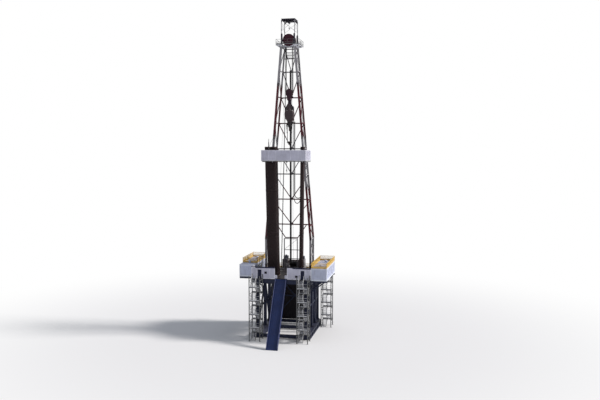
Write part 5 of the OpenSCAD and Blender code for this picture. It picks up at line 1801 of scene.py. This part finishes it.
def drawworks_brakes(y, z):
    """Brake bands round the drum's flanges, and the battens behind it."""
    brakes = Shape()
    for s in SIDES:
        band = ((0.402, 0.528), (0.412, 0.528), (0.412, 0.552), (0.402, 0.552))
        brakes.lathe([(r, s * h) for r, h in band], (0, y, z), "x", 48, hole=True)
    brakes.box((-0.6, 2.75, FLOOR + 0.95), (0.6, 2.85, FLOOR + 0.99))
    for x in (-0.4, 0, 0.4):
        brakes.box((x - 0.012, 2.735, FLOOR + 0.16), (x + 0.012, 2.75, FLOOR + 0.94))
    brakes.make("drawworks_brakes", "red", bevel=0.002)


class RIG_OT_drawworks(bpy.types.Operator):
    """Details the drawworks: wound drum, guards, motors and brakes."""

    bl_idname = "rig.drawworks"
    bl_label = "Drawworks"

    def execute(self, context):
        drum_y, drum_z = 2.3, FLOOR + 0.65
        wound_rope(drum_y, drum_z)
        drawworks_guards(drum_y, drum_z)
        drawworks_motors(drum_y)
        drawworks_brakes(drum_y, drum_z)
        return {"FINISHED"}


def base_ribs(ribs, pins, s):
    """Ribs along one base box, and the pins in its top."""
    start, bay = -4.10, 7.2 / 7
    for k in range(7):
        for t in (0.3, 0.5, 0.7):
            y = start + (k + t) * bay
            ribs.box((s * 3.0, y - 0.008, 0.11), (s * 3.035, y + 0.008, 0.49))
        for x in (2.2, 3.0):
            pins.lathe([(0.05, 0), (0.05, 0.012), (0.02, 0.014)], (s * x, start + (k + 0.5) * bay, BASE_TOP), "z", 16)


def leg_ends(ribs, pins, s, y):
    """Foot plate, gussets, pins and holding bolts of one leg."""
    x, foot = s * LEG_LINE, BASE_TOP + 0.22
    for t in (-0.15, 0.15):
        ribs.plate([(x + s * t, BASE_TOP), (x + s * t * 1.8, BASE_TOP), (x + s * t, foot)], y - 0.008, y + 0.008)
        ribs.plate([(y + t, BASE_TOP), (y + t * 1.8, BASE_TOP), (y + t, foot)], x - 0.008, x + 0.008, "x")
        reach = math.copysign(0.28, t)
        ribs.plate([(y + t, LEG_TOP), (y + reach, LEG_TOP), (y + t, LEG_TOP - 0.26)], x - 0.008, x + 0.008, "x")
    ribs.block(x, y, 0.21, 0.21, BASE_TOP, BASE_TOP + 0.024)
    for z in (0.70, 5.78):
        pins.rod((x - 0.19, y, z), (x + 0.19, y, z), 0.045, 16)
    pins.bolts([(x + a, y + b, BASE_TOP + 0.024) for a in (-0.18, 0.18) for b in (-0.18, 0.18)], 0.022, 0.03, "z")


def brace_gussets(ribs, s):
    """The plates at both ends of the diagonal braces of one side."""
    height = LEG_TOP - BASE_TOP
    for k, (a, b) in enumerate(zip(LEG_ROWS, LEG_ROWS[1:])):
        low, high = (b, a) if k == 1 else (a, b)
        for y, z, up in ((low, BASE_TOP, 1), (high, LEG_TOP, -1)):
            run = (high - low) / height * up
            outline = [(y, z), (y + run * 0.62, z), (y + run * 0.75, z + up * 0.75), (y, z + up * 0.62)]
            for face in (-0.089, 0.089):
                ribs.plate(outline, s * LEG_LINE + face - 0.006, s * LEG_LINE + face + 0.006, "x")


def substructure_steel():
    """Ribs, gussets and pins of the base boxes and the legs."""
    ribs, pins = Shape(), Shape()
    for s in SIDES:
        base_ribs(ribs, pins, s)
        for y in LEG_ROWS:
            leg_ends(ribs, pins, s, y)
        brace_gussets(ribs, s)
    ribs.make("substructure_ribs", "navy")
    pins.make("substructure_pins", "joint")


def floor_joists():
    """Stiffeners of the floor's girders and the joists between them."""
    girders = Shape()
    for s in SIDES:
        for y in steps(-4.25, 3.2, 0.62):
            girders.box((s * 2.9, y - 0.006, GIRDER_LOW), (s * 3.08, y + 0.006, GIRDER_HIGH))
    for x in steps(-3.1, 3.1, 0.52):
        for y0, y1 in ((-4.05, -3.98), (3.05, 2.98)):
            girders.box((x - 0.006, y0, GIRDER_LOW), (x + 0.006, y1, GIRDER_HIGH))
    for y in (-3.2, -2.3, -1.6, 0.2, 1.7, 2.4):
        girders.h_beam((-2.44, y, 6.22), (2.44, y, 6.22), 0.12, 0.22)
    girders.make("floor_joists", "navy")


def rear_sheeting():
    """The folded sheets of the rear screen, near-black as partly painted shade, and the rails behind them."""
    sheet = Shape()
    low, high = span("rear_screen")
    outline = [(low.x, 3.014)]
    for x in steps(low.x, high.x, 0.16):
        outline.extend([(x - 0.07, 3.012), (x - 0.045, 2.992), (x + 0.03, 2.992), (x + 0.055, 3.012)])
    sheet.plate([*outline, (high.x, 3.014), (high.x, 3.029), (low.x, 3.029)], low.z, high.z, "z")
    for z in (1.6, 2.6, 3.6, 4.6, 5.6):
        sheet.box((low.x, 3.029, z - 0.03), (high.x, 3.05, z + 0.03))
    # The sheeting is near-black, partly as painted shade for the interior seen through the open front.
    sheet.make("rear_screen_sheeting", "screen", stands_for="rear_screen")


def ramp_runners():
    """Runners and cleats on the bed of the ramp, its side guides in a lighter blue that is a painted highlight, and the
    hinge at its head.
    """
    ramp = Shape()
    head, run = RAMP_HEAD, RAMP_FOOT - RAMP_HEAD
    normal = Vector((0, -run.z, run.y)).normalized()
    normal = normal if normal.z > 0 else -normal
    last = head + run * 0.97
    for x in (-0.42, -0.21, 0.0, 0.21, 0.42):
        lift = RIGHT * x + normal * 0.008
        ramp.h_beam(head + run * 0.01 + lift, last + lift, 0.05, 0.018, 0.006, normal)
    for s in SIDES:
        for t in (0.12, 0.3, 0.48, 0.66, 0.84):
            p = head + run * t + RIGHT * (s * 0.55) + normal * 0.012
            ramp.bar(p, p + run.normalized() * 0.10, 0.02, 0.10)
        for x in (0.25, 0.5):
            ramp.block(s * x, -4.33, 0.03, 0.03, 6.20, 6.36)
    # The side guides take the second finish, a lighter blue that is a painted highlight along the ramp's edges.
    ramp.slot = 1
    for s in SIDES:
        for h in (0.005, 0.105):
            lift = RIGHT * (s * 0.57) + normal * h
            ramp.bar(head + lift, last + lift, 0.01, 0.06)
    ramp.make("ramp_runners", ("ramp", "ramp_edge_highlight"))


def flow_nipple():
    """The bell nipple under the floor and the flow line that leaves it."""
    under = Shape()
    under.lathe([(0.25, 6.34), (0.25, 6.10), (0.21, 6.06), (0.21, 5.55), (0.235, 5.55), (0.235, 5.50), (0.20, 5.50)],
                (0, 0, 0))
    line = [(0.18, 0, 5.85), (0.5, 0.12, 5.80), (1.3, 0.4, 5.66), (2.0, 0.62, 5.5), (2.4, 0.75, 5.42)]
    under.tube(line, 0.085, 16)
    for a in (0.3, 0.8):
        p = Vector(line[0]).lerp(Vector(line[-1]), a)
        under.rod(p, (p.x, p.y, 6.12), 0.01, 6)
    under.make("flow_nipple", "grey")


class RIG_OT_substructure(bpy.types.Operator):
    """Ribs, gussets, pins and sheeting of the substructure, and the runners of the ramp."""

    bl_idname = "rig.substructure"
    bl_label = "Substructure and ramp"

    def execute(self, context):
        substructure_steel()
        floor_joists()
        rear_sheeting()
        ramp_runners()
        flow_nipple()
        return {"FINISHED"}


def rotary_ring(z):
    """The ring round the rotary table's bore and its bolts."""
    table = Shape()
    table.lathe([(0.238, 0.04), (0.238, 0.052), (0.26, 0.058), (0.31, 0.058), (0.318, 0.045)], (0, 0, z), "z", 48)
    for p in ring((0, 0, z), 0.285, 8, "xy", first=22.5):
        table.lathe([(0.014, 0.055), (0.014, 0.066), (0.010, 0.068)], p, "z", 6)
    table.make("rotary_ring", "joint")


def iron_roughneck(z):
    """The wrench that makes up the joints: its columns, the two jaws, the spinner and its hoses."""
    tool = Shape()
    tool.box((-0.30, -1.25, z), (0.30, -0.98, z + 0.05))
    tool.box((-0.24, -1.09, z + 0.42), (0.24, -0.72, z + 0.66))
    tool.box((-0.20, -1.07, z + 0.72), (0.20, -0.76, z + 0.94))
    tool.lathe([(0.0, 0), (0.13, 0), (0.14, 0.02), (0.14, 0.16), (0.0, 0.18)], (0, -0.93, z + 0.94), "z", 24)
    for s in SIDES:
        tool.block(s * 0.16, -1.12, 0.03, 0.04, z, z + 1.25)
        tool.tube([(s * 0.2, -0.98, z + 0.98), (s * 0.24, -1.10, z + 1.1), (s * 0.16, -1.16, z + 1.22)], 0.014)
        tool.tube([(s * 0.20, -0.80, z + 0.54), (s * 0.13, -0.60, z + 0.54)], 0.05, 12)
    tool.make("iron_roughneck", "grey", bevel=0.006)


def tugger_winches(z):
    """Two small winches: a bed, two cheeks, the drum and its motor."""
    winches = Shape()
    for x, y in ((-1.11, 0.75), (1.6, 0.35)):
        winches.block(x, y, 0.20, 0.14, z, z + 0.04)
        for e in (-0.15, 0.15):
            winches.plate([(y - 0.12, z + 0.04), (y + 0.12, z + 0.04), (y + 0.06, z + 0.30), (y - 0.06, z + 0.30)],
                          x + e - 0.01, x + e + 0.01, "x")
        winches.lathe([(0.12, -0.14), (0.12, -0.12), (0.07, -0.115), (0.07, 0.115), (0.12, 0.12), (0.12, 0.14)],
                      (x, y, z + 0.22), "x", 24)
        winches.lathe([(0.0, 0.16), (0.08, 0.16), (0.08, 0.26), (0.0, 0.28)], (x, y, z + 0.22), "x", 18)
    winches.make("tugger_winches", "grey", bevel=0.003)


def machinery_frame(z):
    """The light frame that stands behind the well centre."""
    frames = Shape()
    y = 1.2
    for x, top in ((-0.86, 10.05), (0.62, 10.05), (1.04, 9.0)):
        frames.h_beam((x, y, z), (x, y, top), 0.09, 0.09, 0.010, BACK)
        frames.block(x, y, 0.09, 0.09, z, z + 0.018)
    for h, x in ((10.0, 0.62), (8.75, 1.04), (7.75, 1.04)):
        frames.h_beam((-0.86, y, h), (x, y, h), 0.07, 0.07, 0.008)
    frames.bar((-0.86, y, 8.8), (0.62, y, 9.95), 0.03, 0.03)
    frames.make("machinery_frame", "mast_grey")


def ramp_sill(z):
    """The plate and roller at the head of the ramp."""
    head = Shape()
    head.box((-0.9, -4.2, z), (0.9, -4.02, z + 0.012))
    head.rod((-0.6, -4.19, z + 0.03), (0.6, -4.19, z + 0.03), 0.03, 16)
    head.bolts([(x, y, z + 0.012) for x in (-0.8, -0.4, 0.0, 0.4, 0.8) for y in (-4.13, -4.05)], 0.016, 0.012, "z")
    head.make("v_door_sill", "dark")


class RIG_OT_floor(bpy.types.Operator):
    """Places the machinery of the rig floor that shows through the gap and above the windwalls."""

    bl_idname = "rig.floor"
    bl_label = "Rig floor machinery"

    def execute(self, context):
        for build in (rotary_ring, iron_roughneck, tugger_winches, machinery_frame, ramp_sill):
            build(FLOOR)
        return {"FINISHED"}


def camera(scene):
    """The view of the photograph."""
    lens = bpy.data.cameras.new("camera")
    lens.sensor_width = 36
    lens.lens = 42
    lens.clip_end = 500
    eye = bpy.data.objects.new("camera", lens)
    scene.collection.objects.link(eye)
    eye.location = (16.35, WELL_Y - 75.0, 19.8)
    eye.rotation_euler = (math.radians(86), 0, math.radians(11.44))
    scene.camera = eye


def low_sun(scene):
    """A wide sun from the right."""
    sun = bpy.data.lights.new("sun", "SUN")
    sun.energy = 3.8
    sun.angle = math.radians(12)
    sun.color = (1.0, 0.96, 0.92)
    lamp = bpy.data.objects.new("sun", sun)
    lamp.rotation_euler = (math.radians(55), 0, math.radians(97))
    scene.collection.objects.link(lamp)


def pale_sky(scene):
    """A world that lights as an open sky and shows white behind the rig."""
    scene.world = bpy.data.worlds.new("sky")
    w = emptied(scene.world)
    light = w.node("ShaderNodeBackground", {"Color": (0.86, 0.91, 1.0, 1), "Strength": 0.43}).outputs[0]
    white = w.node("ShaderNodeBackground", {"Color": (1, 1, 1, 1), "Strength": 1.0}).outputs[0]
    both = w.node("ShaderNodeMixShader", {0: w.seen_directly(), 1: light, 2: white}).outputs[0]
    w.node("ShaderNodeOutputWorld", {"Surface": both})


def pale_floor(scene):
    """A floor that takes the rig's shadow and fades to white away from it."""
    reach = 160.0
    mesh = bpy.data.meshes.new("floor")
    mesh.from_pydata([(-reach, -reach, 0), (reach, -reach, 0), (reach, reach, 0), (-reach, reach, 0)], [],
                     [(0, 1, 2, 3)])
    floor = bpy.data.objects.new("floor", mesh)
    scene.collection.objects.link(floor)
    material = bpy.data.materials.new("pale floor")
    w = emptied(material)
    away = w.node("ShaderNodeVectorMath", {0: w.object_place()}, operation="LENGTH").outputs["Value"]
    share = w.times(w.ramp(away, 14.0, 48.0), w.seen_directly())
    matt = w.node("ShaderNodeBsdfDiffuse", {"Color": (0.78, 0.78, 0.79, 1)}).outputs[0]
    white = w.node("ShaderNodeEmission", {"Color": (1, 1, 1, 1), "Strength": 1.0}).outputs[0]
    both = w.node("ShaderNodeMixShader", {0: share, 1: matt, 2: white}).outputs[0]
    w.node("ShaderNodeOutputMaterial", {"Surface": both})
    mesh.materials.append(material)


class RIG_OT_stage(bpy.types.Operator):
    """Adds the camera, the lamp, the sky and the pale floor."""

    bl_idname = "rig.stage"
    bl_label = "Camera, light and floor"

    def execute(self, context):
        for build in (camera, low_sun, pale_sky, pale_floor):
            build(context.scene)
        context.scene.view_settings.view_transform = "Standard"
        return {"FINISHED"}


class RIG_PT_panel(bpy.types.Panel):
    """Lists the steps that dress the rig."""

    bl_label = "Drilling Rig"
    bl_idname = "RIG_PT_panel"
    bl_space_type = "VIEW_3D"
    bl_region_type = "UI"
    bl_category = "Drilling Rig"

    def draw(self, context):
        layout = self.layout
        for group in (context.scene.rig_colours, context.scene.rig_sizes):
            for key in group.bl_rna.properties.keys():
                if key not in ("rna_type", "name"):
                    layout.prop(group, key)
        for step in STEPS:
            layout.operator(step.bl_idname)


STEPS = (
    RIG_OT_stage, RIG_OT_finishes, RIG_OT_ropes, RIG_OT_gear, RIG_OT_crown, RIG_OT_mast, RIG_OT_board,
    RIG_OT_rails_and_pipes, RIG_OT_railings, RIG_OT_stairs, RIG_OT_walls, RIG_OT_drawworks, RIG_OT_floor,
    RIG_OT_substructure,
)
CLASSES = (RigColours, RigSizes, *STEPS, RIG_PT_panel)


def register():
    for cls in CLASSES:
        bpy.utils.register_class(cls)
    bpy.types.Scene.rig_colours = bpy.props.PointerProperty(type=RigColours)
    bpy.types.Scene.rig_sizes = bpy.props.PointerProperty(type=RigSizes)


def unregister():
    del bpy.types.Scene.rig_sizes
    del bpy.types.Scene.rig_colours
    for cls in reversed(CLASSES):
        bpy.utils.unregister_class(cls)


def main():
    """Dresses the rig step by step."""
    register()
    for step in STEPS:
        group, name = step.bl_idname.split(".")
        getattr(getattr(bpy.ops, group), name)()


if __name__ == "__main__":
    main()
